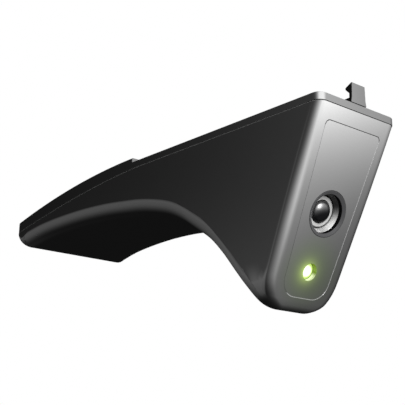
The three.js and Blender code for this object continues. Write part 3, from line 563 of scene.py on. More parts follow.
class Group(Wiring):
    """A shader node group being wired."""

    def __init__(
        self, name: str, inputs: Mapping[str, object], colours: Sequence[str], numbers: Sequence[str]
    ) -> None:
        """Starts the group.

        Args:
            name: its name.
            inputs: default of each input: a number, a colour, or None for a vector.
            colours: names of the colours that it puts out.
            numbers: names of the numbers that it puts out.
        """
        super().__init__(bpy.data.node_groups.new(name, "ShaderNodeTree"))
        add = self.tree.interface.new_socket
        for label, default in inputs.items():
            kind = "Vector" if default is None else "Float" if isinstance(default, float) else "Color"
            socket = add(label, in_out="INPUT", socket_type="NodeSocket" + kind)
            if default is not None:
                socket.default_value = default
        for label in (*colours, *numbers):
            add(label, in_out="OUTPUT", socket_type="NodeSocket" + ("Color" if label in colours else "Float"))
        self.put, self.out = self.node("NodeGroupInput"), self.node("NodeGroupOutput")

    def given(self, label: str) -> Term:
        """Gives a numeric input as a term."""
        return Term(self, self.put.outputs[label])


# ---------------------------------------------------------------- shared surface effects

GRAIN, PAINT, HALO = "surface grain", "charcoal and silver", "light halo"
FACE_OUT: Point = (0.9018, 0.0, -0.4321)
FACE_UP: Point = (0.4321, 0.0, 0.9018)


@dataclass(frozen=True)
class Grain:
    """The grain of every finish: uneven colour, uneven gloss and a fine relief."""

    broad_scale: float = 34.0
    broad_share: float = 0.7

    def build(self) -> None:
        """Builds the node group."""
        inputs = {
            "Vector": None,
            "Colour": (0.5, 0.5, 0.5, 1.0),
            "Roughness": 0.5,
            "Scale": 900.0,
            "Unevenness": 0.06,
            "Wear": 0.08,
        }
        w = Group(GRAIN, inputs, ["Colour"], ["Roughness", "Height"])
        noises = []
        for scale, detail in ((w.given("Scale"), 2.0), (self.broad_scale, 4.0)):
            inputs = {"Vector": w.put.outputs["Vector"], "Scale": scale, "Detail": detail}
            noises.append(Term(w, w.node("ShaderNodeTexNoise", inputs).outputs["Fac"]))
        spread, drift = (noise - 0.5 for noise in noises)
        factor = (spread + drift * self.broad_share) * w.given("Unevenness") + 1.0
        worn = w.math("ADD", w.given("Roughness"), drift * w.given("Wear"), clamp=True)
        colour = w.scaled(w.put.outputs["Colour"], factor)
        w.fill(w.out, {"Colour": colour, "Roughness": worn, "Height": noises[0]})


@dataclass(frozen=True)
class Paint:
    """The body's paint: silver where the form looks forwards, charcoal elsewhere, with painted light and
    shade.

    Levels are linear and lengths are in metres. A pair gives where a fade starts and ends.
    The split is two-tone paint that also stands in for the lit front and the shaded sides.
    The silver is painted darker down the face and towards the right, with painted highlights
    on the left front edge. The charcoal is painted lighter towards the front and nearly black
    underneath, with painted highlights along the lower side edge and on the rim.
    """

    facing_start: float = 0.18
    facing_span: float = 0.74
    facing_power: float = 3.8
    front_part: Flat = (-0.02, 0.02)
    level_part: Flat = (-0.3, -0.1)
    # Painted shade: the silver is painted darker down the face, from silver_start over silver_reach.
    silver_low: float = 0.09
    silver_rise: float = 0.66
    silver_reach: float = 0.0523
    silver_start: float = -0.0074
    # Painted shade: the silver is darker where the form looks right, and a little darker where it looks left.
    right_shade: float = 1.2
    leftward: Flat = (0.0, -0.38)
    left_shade: float = 0.12
    # Painted highlight on the left front edge, a bell in height.
    highlight_span: float = 0.05
    # Painted light: the charcoal is lighter towards the front. The charcoal is also lighter lower down.
    front: float = 0.13
    front_light_reach: float = 0.19
    deep: float = 0.022
    deep_span: float = 0.12
    # Painted shade: the underside is painted nearly black.
    underside_shade: float = 0.0125
    under: Flat = (-0.1, -0.5)
    # Painted highlight: a lighter band along the lower side edge.
    edge_highlight: float = 0.12
    highlight_top: Flat = (-0.1, -0.22)
    highlight_foot: Flat = (-0.86, -0.38)
    highlight_side: Flat = (0.3, 0.14)
    # Painted highlight on the rim's round, where the form looks up.
    rim: Flat = (0.05, 0.5)
    # Painted highlight on the left front fillet, placed by facing and by height.
    fillet_highlight: float = 0.135
    fillet_inner: Flat = (0.25, 0.85)
    fillet_outer: Flat = (0.98, 0.85)
    fillet_top: Flat = (-0.03, -0.11)
    fillet_foot: Flat = (-0.164, -0.146)
    gloss: float = 0.035
    gloss_part: Flat = (-0.7, -0.2)

    def build(self) -> None:
        """Builds the node group."""
        inputs = {
            "Place": None,
            "Normal": None,
            "Facing": None,
            "Charcoal": 0.004,
            "Front light on charcoal": 0.038,
            "Silver": 1.0,
            "Across light reach": 0.12,
            "Corner highlight": 0.16,
            "Corner height": -0.09,
            "Rim": 0.0,
        }
        w = Group(PAINT, inputs, ["Colour"], ["Gloss"])
        x, y, z = w.split(w.put.outputs["Place"])
        nx, ny, nz = w.split(w.put.outputs["Normal"])
        facing = w.measured("DOT_PRODUCT", w.put.outputs["Normal"], w.put.outputs["Facing"])
        share = w.math("DIVIDE", facing - self.facing_start, self.facing_span, clamp=True)
        ahead = w.math("MAXIMUM", x.fade(*self.front_part), nz.fade(*self.level_part))
        silver = w.math("POWER", share, self.facing_power) * ahead
        leftward = ny.fade(*self.leftward)
        bright = self.bright(w, y, z, ny, leftward) * silver
        dark = self.dark(w, x, z, nx, nz) * (1.0 - silver)
        # Painted highlight on the left front fillet.
        fillet_highlight = facing.fade(*self.fillet_inner) * facing.fade(*self.fillet_outer)
        fillet_highlight = fillet_highlight * (leftward * z.fade(*self.fillet_top)) * z.fade(*self.fillet_foot)
        total = bright + (dark + fillet_highlight * self.fillet_highlight)
        joined = w.node("ShaderNodeCombineColor", {"Red": total, "Green": total, "Blue": total})
        w.fill(w.out, {"Colour": joined.outputs[0], "Gloss": nz.fade(*self.gloss_part) * self.gloss})

    def bright(self, w: Group, y: Term, z: Term, ny: Term, leftward: Term) -> Term:
        """Gives the silver's level, painted darker down the face and towards the right, with a painted
        highlight on the left front edge.

        Args:
            w: the group.
            y: place across.
            z: height.
            ny: how far the form looks across.
            leftward: how far it looks to the left.

        Returns:
            The level.
        """
        # Painted shade: darker down the face and towards the right, darker where the form looks right, and a
        # little darker where it looks left.
        fall = (w.math("MINIMUM", z - self.silver_start, 0.0) / self.silver_reach).exp()
        level = (fall * self.silver_rise + self.silver_low) * (y * -1.0 / w.given("Across light reach")).exp()
        level = level * w.given("Silver")
        turn = w.math("MAXIMUM", ny, 0.0) * self.right_shade
        level = level * w.math("SUBTRACT", 1.0, turn, clamp=True) * (1.0 - leftward * self.left_shade)
        # Painted highlight on the left front edge, a bell in height.
        rise = (z - w.given("Corner height")) / self.highlight_span
        return level + (rise * rise * -1.0).exp() * w.given("Corner highlight") * leftward

    def dark(self, w: Group, x: Term, z: Term, nx: Term, nz: Term) -> Term:
        """Gives the charcoal's level: lighter lower down, with painted light towards the front, painted shade
        underneath and painted highlights along the lower edge and on the rim.

        Args:
            w: the group.
            x: place along the body.
            z: height.
            nx: how far the form looks forwards.
            nz: how far it looks up.

        Returns:
            The level.
        """
        # Painted light: lighter towards the front. The charcoal is also lighter lower down.
        near = ((self.front - x) / -self.front_light_reach).exp()
        depth = z / self.deep_span
        level = near * w.given("Front light on charcoal") + w.given("Charcoal") + depth * depth * self.deep
        # Painted shade underneath, and a painted highlight along the lower side edge.
        under = nz.fade(*self.under)
        band = nz.fade(*self.highlight_top) * nz.fade(*self.highlight_foot) * nx.fade(*self.highlight_side)
        level = level * (1.0 - under) + under * self.underside_shade + band * self.edge_highlight
        # Painted highlight on the rim's round.
        return level + nz.fade(*self.rim) * w.given("Rim")


@dataclass(frozen=True)
class Halo:
    """The glow that the status light throws on what is round it, in linear levels and metres."""

    tint: Shade = (0.96, 1.1, 0.84, 1.0)
    reach: Flat = (0.011, 0.043)
    flare: Point = (1.15, 1.62, 0.24)
    flare_shift: Point = (0.0, -0.0035, 0.0)
    flare_core: float = 0.0045
    flare_reach: float = 0.0042
    wall_depth: Flat = (-0.0001, -0.0005)
    wall_edge: Flat = (0.013, 0.0125)
    wall_rise: Flat = (0.0005, -0.0035)
    wall_high: Shade = (0.15, 0.25, 0.012, 1.0)
    wall_low: Shade = (0.56, 0.64, 0.34, 1.0)

    def build(self) -> None:
        """Builds the node group."""
        inputs = {"Place": None, "Centre": None, "Colour": (0.5, 0.5, 0.5, 1.0), "Tint": self.tint}
        w = Group(HALO, inputs, ["Colour", "Glow"], [])
        place, centre, colour, tint = (w.put.outputs[label] for label in inputs)
        away = w.measured("DISTANCE", place, centre)
        tinted = w.mix(away.fade(*self.reach, 1.0, 0.0), colour, w.moved("MULTIPLY", colour, tint))
        near = w.measured("DISTANCE", place, w.moved("ADD", centre, self.flare_shift))
        spread = (w.math("MAXIMUM", near, self.flare_core) / -self.flare_reach).exp()
        offset = w.moved("SUBTRACT", place, centre)
        deep = w.measured("DOT_PRODUCT", offset, FACE_OUT).fade(*self.wall_depth)
        low = w.measured("DOT_PRODUCT", offset, FACE_UP).fade(*self.wall_rise)
        wall = w.mix(low, self.wall_high, self.wall_low)
        glow = w.mix(deep * away.fade(*self.wall_edge), w.scaled(self.flare, spread), wall)
        w.fill(w.out, {"Colour": tinted, "Glow": glow})


# ---------------------------------------------------------------- the frame of the front face


@dataclass(frozen=True)
class Face:
    """The raked front face, and how local pieces are laid on it."""

    front: float = 130.0
    edge: float = 7.4
    rake: float = math.radians(25.6)
    lens_depth: float = 93.7
    light_depth: float = 148.0

    def matrix(self, down: float = 0.0) -> Matrix:
        """Gives the matrix from across, up and out of the face to the part's frame.

        Args:
            down: distance down the face, in millimetres.

        Returns:
            The matrix, in metres.
        """
        s, c = math.sin(self.rake), math.cos(self.rake)
        turn = Matrix(((0, s, c, 0), (1, 0, 0, 0), (0, c, -s, 0), (0, 0, 0, 1)))
        place = Matrix.Translation((self.front * MM, 0, -self.edge * MM))
        return place @ turn @ Matrix.Translation((0, -down * MM, 0))

    def light_spot(self, out: float = 0.0, across: float = 0.0) -> Point:
        """Gives a point in metres, by its distance in millimetres out of and across the status light."""
        return tuple(self.matrix(self.light_depth) @ Vector((across * MM, 0, out * MM)))

    def posts(
        self, down: float, places: Iterable[Flat], radius: float, low: float, high: float, sides: int = 40
    ) -> list[Mesh]:
        """Makes posts that stand along the face's normal.

        Args:
            down: how far down the face their places are counted from.
            places: across and up of each post, in millimetres.
            radius: their radius.
            low: their foot, out of the face.
            high: their end.
            sides: number of sides.

        Returns:
            One closed mesh for each.
        """
        out = [post((x, y, low), radius, high, sides) for x, y in places]
        for mesh in out:
            mesh.transform(self.matrix(down))
        return out


FACE = Face()


# ---------------------------------------------------------------- finishes


@dataclass(frozen=True)
class Finish:
    """A plain finish: its colour, gloss and grain."""

    name: str
    base: Point
    roughness: float
    metallic: float = 0.0
    specular: float = 0.5
    scale: float = 900.0
    unevenness: float = 0.07
    wear: float = 0.08
    relief: float = 0.00002
    streak: Point = (1.0, 1.0, 1.0)
    bump: float = 0.5

    def material(self) -> bpy.types.Material:
        """Gives the finish's material, made once.

        Returns:
            The material.
        """
        made = bpy.data.materials.get(self.name)
        if made:
            return made
        made = bpy.data.materials.new(self.name)
        made.use_nodes = True
        w = Wiring(made.node_tree)
        shader = made.node_tree.nodes["Principled BSDF"]
        place = w.node("ShaderNodeTexCoord")
        lay = w.node("ShaderNodeMapping", {"Vector": place.outputs["Object"], "Scale": self.streak})
        inputs = {
            "Vector": lay.outputs["Vector"],
            "Colour": self.wire(w, shader, place),
            "Roughness": self.roughness,
            "Scale": self.scale,
            "Unevenness": self.unevenness,
            "Wear": self.wear,
        }
        grain = w.node("ShaderNodeGroup", inputs, node_tree=bpy.data.node_groups[GRAIN]).outputs
        relief = {"Strength": self.bump, "Distance": self.relief, "Height": grain["Height"]}
        inputs = {
            "Base Color": grain["Colour"],
            "Metallic": self.metallic,
            "Roughness": grain["Roughness"],
            "Specular IOR Level": self.specular,
            "Normal": w.node("ShaderNodeBump", relief).outputs["Normal"],
        }
        w.fill(shader, inputs)
        return made

    def wire(self, w: Wiring, shader: Node, place: Node) -> object:
        """Wires what the finish adds to its grain.

        Args:
            w: the material's wiring.
            shader: its shader.
            place: its texture coordinates.

        Returns:
            The colour under the grain, or the output that gives it.
        """
        return (*self.base, 1.0)


@dataclass(frozen=True)
class BodyPaint(Finish):
    """The body's paint, with its painted light and shade, and the light's halo on it."""

    base: Point = (0.1, 0.1, 0.1)
    roughness: float = 0.5
    specular: float = 0.0
    facing: Point = FACE_OUT
    # Charcoal level, and its painted light towards the front.
    charcoal: float = 0.0103
    near: float = 0.0377
    # Silver level, set per piece as painted light for how light falls on it, and how fast it is painted
    # darker to the right.
    silver: float = 0.88
    reach: float = 0.13
    # Strength and height of the painted highlight on the left front edge.
    corner: float = 0.22
    highlight_height: float = -0.08
    # Strength of the painted highlight on the rim.
    rim: float = 0.0
    coat_roughness: float = 0.3

    def wire(self, w: Wiring, shader: Node, place: Node) -> object:
        """Wires the paint and the halo. See Finish.wire."""
        inputs = {
            "Place": place.outputs["Object"],
            "Normal": place.outputs["Normal"],
            "Facing": self.facing,
            "Charcoal": self.charcoal,
            "Front light on charcoal": self.near,
            "Silver": self.silver,
            "Across light reach": self.reach,
            "Corner highlight": self.corner,
            "Corner height": self.highlight_height,
            "Rim": self.rim,
        }
        paint = w.node("ShaderNodeGroup", inputs, node_tree=bpy.data.node_groups[PAINT]).outputs
        inputs = {"Place": place.outputs["Object"], "Centre": FACE.light_spot(), "Colour": paint["Colour"]}
        halo = w.node("ShaderNodeGroup", inputs, node_tree=bpy.data.node_groups[HALO]).outputs
        w.fill(shader, {"Coat Weight": paint["Gloss"], "Coat Roughness": self.coat_roughness})
        w.fill(shader, {"Emission Color": halo["Glow"], "Emission Strength": 1.0})
        return halo["Colour"]


@dataclass(frozen=True)
class Lit(Finish):
    """Clear plastic that is lit from behind."""

    centre: Point = (0.0, 0.0, 0.0)
    core: float = 0.003
    edge: float = 0.008
    strength: float = 1.6
    core_light: Shade = (0.9, 1.0, 0.78, 1.0)
    edge_light: Shade = (0.3, 0.4, 0.1, 1.0)

    def wire(self, w: Wiring, shader: Node, place: Node) -> object:
        """Wires the light, from its core to its edge. See Finish.wire."""
        share = w.measured("DISTANCE", place.outputs["Object"], self.centre).fade(self.core, self.edge)
        glow = w.mix(share, self.core_light, self.edge_light)
        w.fill(shader, {"Emission Color": glow, "Emission Strength": self.strength})
        return super().wire(w, shader, place)


@dataclass(frozen=True)
class Shaded(Finish):
    """A finish with painted shade: darker, or less coated, where the form turns away from a direction of
    light.
    """

    painted_light_toward: Point = (0.374, -0.5, 0.78)
    low: float = -0.5
    high: float = 0.5
    least: float = 0.0
    coat_index: float = 0.0

    def wire(self, w: Wiring, shader: Node, place: Node) -> object:
        """Wires the painted shade into the coat, where it has one, as a painted reflection, or else into the
        colour. See Finish.wire.
        """
        turn = w.measured("DOT_PRODUCT", place.outputs["Normal"], self.painted_light_toward)
        share = turn.fade(self.low, self.high, self.least, 1.0)
        if not self.coat_index:
            return w.scaled(self.base, share)
        w.fill(shader, {"Coat Weight": share, "Coat Roughness": self.roughness, "Coat IOR": self.coat_index})
        return super().wire(w, shader, place)


@dataclass(frozen=True)
class Bands(Finish):
    """A finish with even stripes of a second colour across Y, such as the conductors of a flat cable."""

    stripe: Point = (0.36, 0.16, 0.03)
    pitch: float = 0.00127
    blur: float = 0.1

    def wire(self, w: Wiring, shader: Node, place: Node) -> object:
        """Wires the stripes. See Finish.wire."""
        _, y, _ = w.split(place.outputs["Object"])
        share = w.math("SINE", y * (2 * math.pi / self.pitch)).fade(-self.blur, self.blur)
        return w.mix(share, (*self.base, 1.0), (*self.stripe, 1.0))


class Finishes:
    """Every finish of the monitor."""

    # The four body paints are lit and shaded copies of one paint: their silver levels and painted highlights
    # differ for the light on each piece, and the shell has a painted rim highlight.
    SHELL = BodyPaint("satin body paint", rim=0.36)
    COVER = BodyPaint(
        "satin cover paint",
        facing=(1.28, 0.0, 0.0),
        charcoal=0.0058,
        near=0.0432,
        silver=0.385,
        reach=0.3,
        corner=0.42,
        highlight_height=-0.002,
    )
    PANEL = BodyPaint("satin silver panel", facing=(3.0, 0.0, 0.0), silver=0.94, reach=0.155, corner=0.0)
    LATCH = BodyPaint(
        "satin latch paint", facing=(1.1, 0.0, 0.0), charcoal=0.002, near=0.004, silver=0.345, corner=0.0
    )
    BEZEL = Finish("dark grey satin", (0.085, 0.085, 0.088), 0.42, 0.3, 0.3, relief=0.000008)
    # Painted shade: the hood and the ring are darker where they turn away from the light above left.
    LENS_METAL = Shaded(
        "bright turned aluminium",
        (1.0, 1.0, 0.99),
        0.36,
        0.7,
        0.2,
        scale=420.0,
        relief=0.000002,
        low=-0.05,
        high=0.95,
        least=0.05,
    )
    RING = replace(LENS_METAL, name="satin lens ring", metallic=0.1, low=-0.6, high=0.32, least=0.08)
    # Painted reflection: the coat is weaker where the glass turns down and right, so that its lower part
    # reflects less.
    GLASS = Shaded(
        "coated lens glass",
        (0.004, 0.004, 0.005),
        0.36,
        specular=0.0,
        scale=60.0,
        wear=0.02,
        relief=0.0,
        painted_light_toward=(0.0, -0.4, 0.9),
        low=-0.45,
        high=0.35,
        least=0.04,
        coat_index=3.8,
    )
    # Painted highlight on the lit walls of the panel's groove.
    LIT_EDGE = Finish("panel edge with painted highlight", (0.78, 0.78, 0.78), 0.3, 1.0, scale=420.0, relief=0.0)
    LIGHT = Lit(
        "lit green lens", (0.2, 0.3, 0.06), 0.4, specular=0.1, centre=FACE.light_spot(-3.5, -1.3), edge=0.0072
    )
    EMITTER = Lit(
        "lit resin", (0.7, 0.8, 0.3), 0.3, centre=FACE.light_spot(-14.0), core=0.001, edge=0.004, strength=2.0
    )
    STEEL = Finish(
        "zinc plated steel", (0.52, 0.52, 0.53), 0.33, 1.0, scale=700.0, wear=0.16, relief=0.000004
    )
    SPRING = Finish("spring wire", (0.4, 0.4, 0.42), 0.28, 1.0, scale=1500.0, relief=0.000002)
    # Painted shade: the lens bore is matt black, painted near black for the shade inside it.
    BORE = Finish("matt black lens bore with painted shade", (0.004, 0.004, 0.0045), 0.7, 0.0, 0.1, scale=1400.0)
    INNER = Finish(
        "moulded black plastic", (0.02, 0.02, 0.021), 0.55, 0.0, 0.35, scale=1400.0, relief=0.00003
    )
    FOCUS = Finish("black anodised ring", (0.028, 0.028, 0.03), 0.38, 0.6, scale=800.0)
    CAMERA = Finish("black powder coat", (0.03, 0.03, 0.033), 0.6, 0.2, 0.4, scale=2200.0, relief=0.00005)
    ALLOY = Finish(
        "bare aluminium", (0.56, 0.56, 0.57), 0.36, 1.0, scale=300.0, relief=0.000006, streak=(1, 8, 1)
    )
    BOARD = Finish(
        "green solder resist", (0.012, 0.11, 0.035), 0.38, scale=240.0, unevenness=0.35, relief=0.00003
    )
    CHIP = Finish("black moulded package", (0.022, 0.022, 0.024), 0.5, 0.0, 0.4, scale=2600.0)
    RIBBON = Bands("amber flat cable", (0.5, 0.27, 0.06), 0.4)
    FLOOR = Finish("pale floor", (0.8, 0.8, 0.8), 0.8, specular=0.1, scale=3.0, unevenness=0.01)


def clad(mesh: Mesh, *finishes: Finish) -> Mesh:
    """Adds the materials of finishes to a mesh."""
    for finish in finishes:
        mesh.materials.append(finish.material())
    return mesh


def dress(piece: Object, finish: Finish, body: Body, slot: str, nodes: Sequence[str]) -> None:
    """Gives a piece its finish and says what it rides on and stands for.

    Args:
        piece: the piece.
        finish: its finish, if it has none yet.
        body: the body that it rides on.
        slot: not used.
        nodes: CAD nodes that it replaces.
    """
    if not piece.data.materials:
        clad(piece.data, finish)
    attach(piece, body.value)
    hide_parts(*nodes)
    LOG.info("%s on %s, %d faces", piece.name, body.value, len(piece.data.polygons))


# ---------------------------------------------------------------- the body's form


@dataclass(frozen=True)
class Station:
    """One place along the side outline of the lower shell."""

    point: Vector
    inward: Vector
    round: float
    wall: float


def lerp(low: float, high: float, share: float) -> float:
    """Gives the value a share of the way between two others."""
    return low + (high - low) * share


def heading(angle: float) -> Vector:
    """Gives the direction at an angle in the side view, in radians up from the rear."""
    return Vector((math.cos(angle), math.sin(angle)))


@dataclass(frozen=True)
class Form:
    """The outline of the body, by distance back from the front edge, in millimetres."""

    seat_length: float = 260.0
    body_length: float = 492.0
    front_width: float = 100.6
    rear_width: float = 154.8
    face_length: float = 189.0
    step_rise: float = 4.5
    rear_top_drop: float = 28.8
    top_power: float = 1.9
    parting_start: float = 245.0
    parting_drop: float = 29.2
    parting_power: float = 1.6
    seam_gap: float = 0.3
    shell_wall: float = 3.0
    face_wall: float = 5.5
    nose_radius: float = 13.5
    nose_back: float = math.radians(34)
    rear_corner: float = 16.0
    rear_round: float = 3.5
    belly_round: float = 15.0
    nose_round: float = 12.0
    edge_round: float = 9.0
    arch_depth: float = 48.2
    belly_rear_depth: float = 55.0
    belly_blend: float = 0.7
    side_lean: float = 11.2
    lean_depth: float = 141.6
    lean_power: float = 1.2
    nose_start: float = 142.7
    nose_height: float = 36.1
    nose_power: float = 2.4
    rim_round: float = 0.5
    rear_steps: int = 10
    belly_steps: int = 64
    nose_steps: int = 18
    face_steps: int = 22
    face_power: float = 1.15
    fillet_steps: int = 10
    side_shares: tuple[float, ...] = (0.02, 0.08, 0.2, 0.4, 0.65, 1.0)
    belly_shares: tuple[Flat, ...] = (
        (0, 1), (0.0199, 0.895), (0.0587, 0.743), (0.0979, 0.592), (0.1415, 0.452),
        (0.1924, 0.337), (0.2431, 0.235), (0.2994, 0.161), (0.39, 0.091), (0.484, 0.049),
        (0.5733, 0.02), (0.6833, 0.0017), (0.8041, 0), (0.9114, 0.0166), (1, 0.0555),
    )

    def half_width(self, back: float) -> float:
        """Half the body's width."""
        return self.front_width / 2 + (self.rear_width - self.front_width) / 2 * back / self.body_length

    def past(self, start: float, back: float) -> float:
        """Share of the way from a start to the rear end."""
        return max(back - start, 0) / (self.body_length - start)

    def top(self, back: float) -> float:
        """Height of the rear top, behind the step."""
        return self.step_rise - self.rear_top_drop * self.past(self.seat_length, back) ** self.top_power

    def parting(self, back: float) -> float:
        """Height of the parting line."""
        return -FACE.edge - self.parting_drop * self.past(self.parting_start, back) ** self.parting_power

    def rim(self, back: float) -> float:
        """Height of the lower shell's rim."""
        return self.parting(back) - self.seam_gap / 2

    def side_half(self, back: float, z: float) -> float:
        """Half the width of the lower shell at a height."""
        below = max(self.parting(back) - z, 0) / self.lean_depth
        down = min(max((-z - self.nose_start) / self.nose_height, 0), 0.999)
        nose = (1 - down**self.nose_power) ** (1 / self.nose_power)
        return (self.half_width(back) - self.side_lean * below**self.lean_power) * nose

    def face_point(self, down: float) -> Vector:
        """A point on the face, by distance back and height."""
        return Vector((math.sin(FACE.rake) * down, -FACE.edge - math.cos(FACE.rake) * down))

    @property
    def nose_centre(self) -> Vector:
        """Centre of the nose's arc."""
        return self.face_point(self.face_length - self.nose_radius) + heading(FACE.rake) * self.nose_radius

    def belly_point(self, share: float) -> Vector:
        """A point of the belly, from the nose to the rear corner, on a curve through its shares.

        Args:
            share: share of the way.

        Returns:
            Its distance back and its height.
        """
        start = self.nose_centre + heading(-self.nose_back) * self.nose_radius
        end = self.body_length - self.rear_corner
        last = len(self.belly_shares) - 1
        spot = min(max(share, 0.0), 1.0) * last
        i = min(int(spot), last - 1)
        t = spot - i
        near = (self.belly_shares[min(max(k, 0), last)] for k in range(i - 1, i + 3))
        knots = ((lerp(start.x, end, x), -lerp(self.arch_depth, -start.y, z)) for x, z in near)
        p0, p1, p2, p3 = map(Vector, knots)
        v0, v1 = (p2 - p0) / 2, (p3 - p1) / 2
        return (2 * p1 - 2 * p2 + v0 + v1) * t**3 + (-3 * p1 + 3 * p2 - 2 * v0 - v1) * t**2 + v0 * t + p1

    def belly_height(self, back: float) -> float:
        """Height of the belly's middle under the rear arm.

        Args:
            back: distance back, in millimetres.

        Returns:
            The height.
        """
        low, high = 0.2, 1.0
        for _ in range(30):
            middle = (low + high) / 2
            low, high = (middle, high) if self.belly_point(middle).x < back else (low, middle)
        return self.belly_point(low).y

    def stations(self) -> list[Station]:
        """Gives the stations from the rear rim, under the body, to the front rim.

        Returns:
            The stations, in order.
        """
        rear, low = self.body_length, -self.belly_rear_depth + self.rear_corner
        top = self.rim(rear) - self.rim_round
        heights = (top, (top + low) / 2, low)
        out = [Station(Vector((rear, z)), Vector((-1, 0)), self.rear_round, self.shell_wall) for z in heights]
        centre = Vector((rear - self.rear_corner, low))
        for k in range(1, self.rear_steps):
            share = k / self.rear_steps
            away = heading(-QUARTER * share)
            edge = lerp(self.rear_round, self.belly_round, share)
            out.append(Station(centre + away * self.rear_corner, -away, edge, self.shell_wall))
        for k in range(self.belly_steps + 1):
            share = k / self.belly_steps
            step = self.belly_point(1 - share + 1e-3) - self.belly_point(1 - share - 1e-3)
            inward = Vector((-step.y, step.x)).normalized()
            t = min(max((share - self.belly_blend) / (1 - self.belly_blend), 0), 1)
            edge = lerp(self.belly_round, self.nose_round, t * t * (3 - 2 * t))
            out.append(Station(self.belly_point(1 - share), inward, edge, self.shell_wall))
        sweep = math.pi - self.nose_back - FACE.rake
        for k in range(1, self.nose_steps + 1):
            share = k / self.nose_steps
            away = heading(-self.nose_back - sweep * share)
            wall = lerp(self.shell_wall, self.face_wall, share)
            edge = lerp(self.nose_round, self.edge_round, share)
            out.append(Station(self.nose_centre + away * self.nose_radius, -away, edge, wall))
        low_end = self.face_length - self.nose_radius
        high_end = -(self.rim(0) - self.rim_round + FACE.edge) / math.cos(FACE.rake)
        slide = Vector((math.sin(FACE.rake), -math.cos(FACE.rake))) * math.tan(FACE.rake)
        for k in range(1, self.face_steps + 1):
            share = (k / self.face_steps) ** self.face_power
            point = self.face_point(lerp(low_end, high_end, share))
            out.append(Station(point, heading(FACE.rake) + slide * share, self.edge_round, self.face_wall))
        return out


@dataclass(frozen=True)
class RimRound:
    """A quarter round that runs along a closed edge and turns inwards."""

    radius: float
    steps: int

    def over(self, loop: Sequence[Point], up: float) -> list[list[Point]]:
        """Gives the rows of the round.

        Args:
            loop: the closed edge that it starts from.
            up: 1 where it rises, -1 where it falls.

        Returns:
            Its rows, the last one flat.
        """
        flat = [Vector(p[:2]) for p in loop]
        after = flat[1:] + flat[:1]
        area = sum(a.x * b.y - b.x * a.y for a, b in zip(flat, after))
        sign = 1.0 if area > 0 else -1.0
        legs = [b - a for a, b in zip(flat, after)]
        legs = [leg.normalized() if leg.length > 1e-6 else Vector((0.0, 0.0)) for leg in legs]
        steps = [(legs[j - 1] + legs[j]).normalized() for j in range(len(legs))]
        inward = [Vector((-step.y, step.x)) * sign for step in steps]
        rows = []
        for k in range(1, self.steps + 1):
            angle = QUARTER * k / self.steps
            shrink, lift = self.radius * (1 - math.cos(angle)), self.radius * math.sin(angle) * up
            places = zip(loop, inward)
            rows.append([(x + n.x * shrink, y + n.y * shrink, z + lift) for (x, y, z), n in places])
        return rows


class Weave:
    """A surface being woven from rows of points."""

    def __init__(self) -> None:
        """Starts with no points and no faces."""
        self.points: list[Point] = []
        self.faces: list[list[int]] = []

    def row(self, items: Sequence[Point]) -> list[int]:
        """Adds a row of points and gives their numbers."""
        start = len(self.points)
        self.points.extend(items)
        return list(range(start, start + len(items)))

    def band(self, first: Sequence[int], second: Sequence[int], closed: bool = True) -> None:
        """Joins two rows of one length.

        Args:
            first: point numbers of one row.
            second: those of the row beside it.
            closed: whether the last point runs on to the first.
        """
        for j in range(len(first) - (not closed)):
            n = (j + 1) % len(first)
            self.faces.append([first[j], first[n], second[n], second[j]])


class Skin(Enum):
    """Which side of the shell's wall is built."""

    OUTER = 0
    INNER = 1


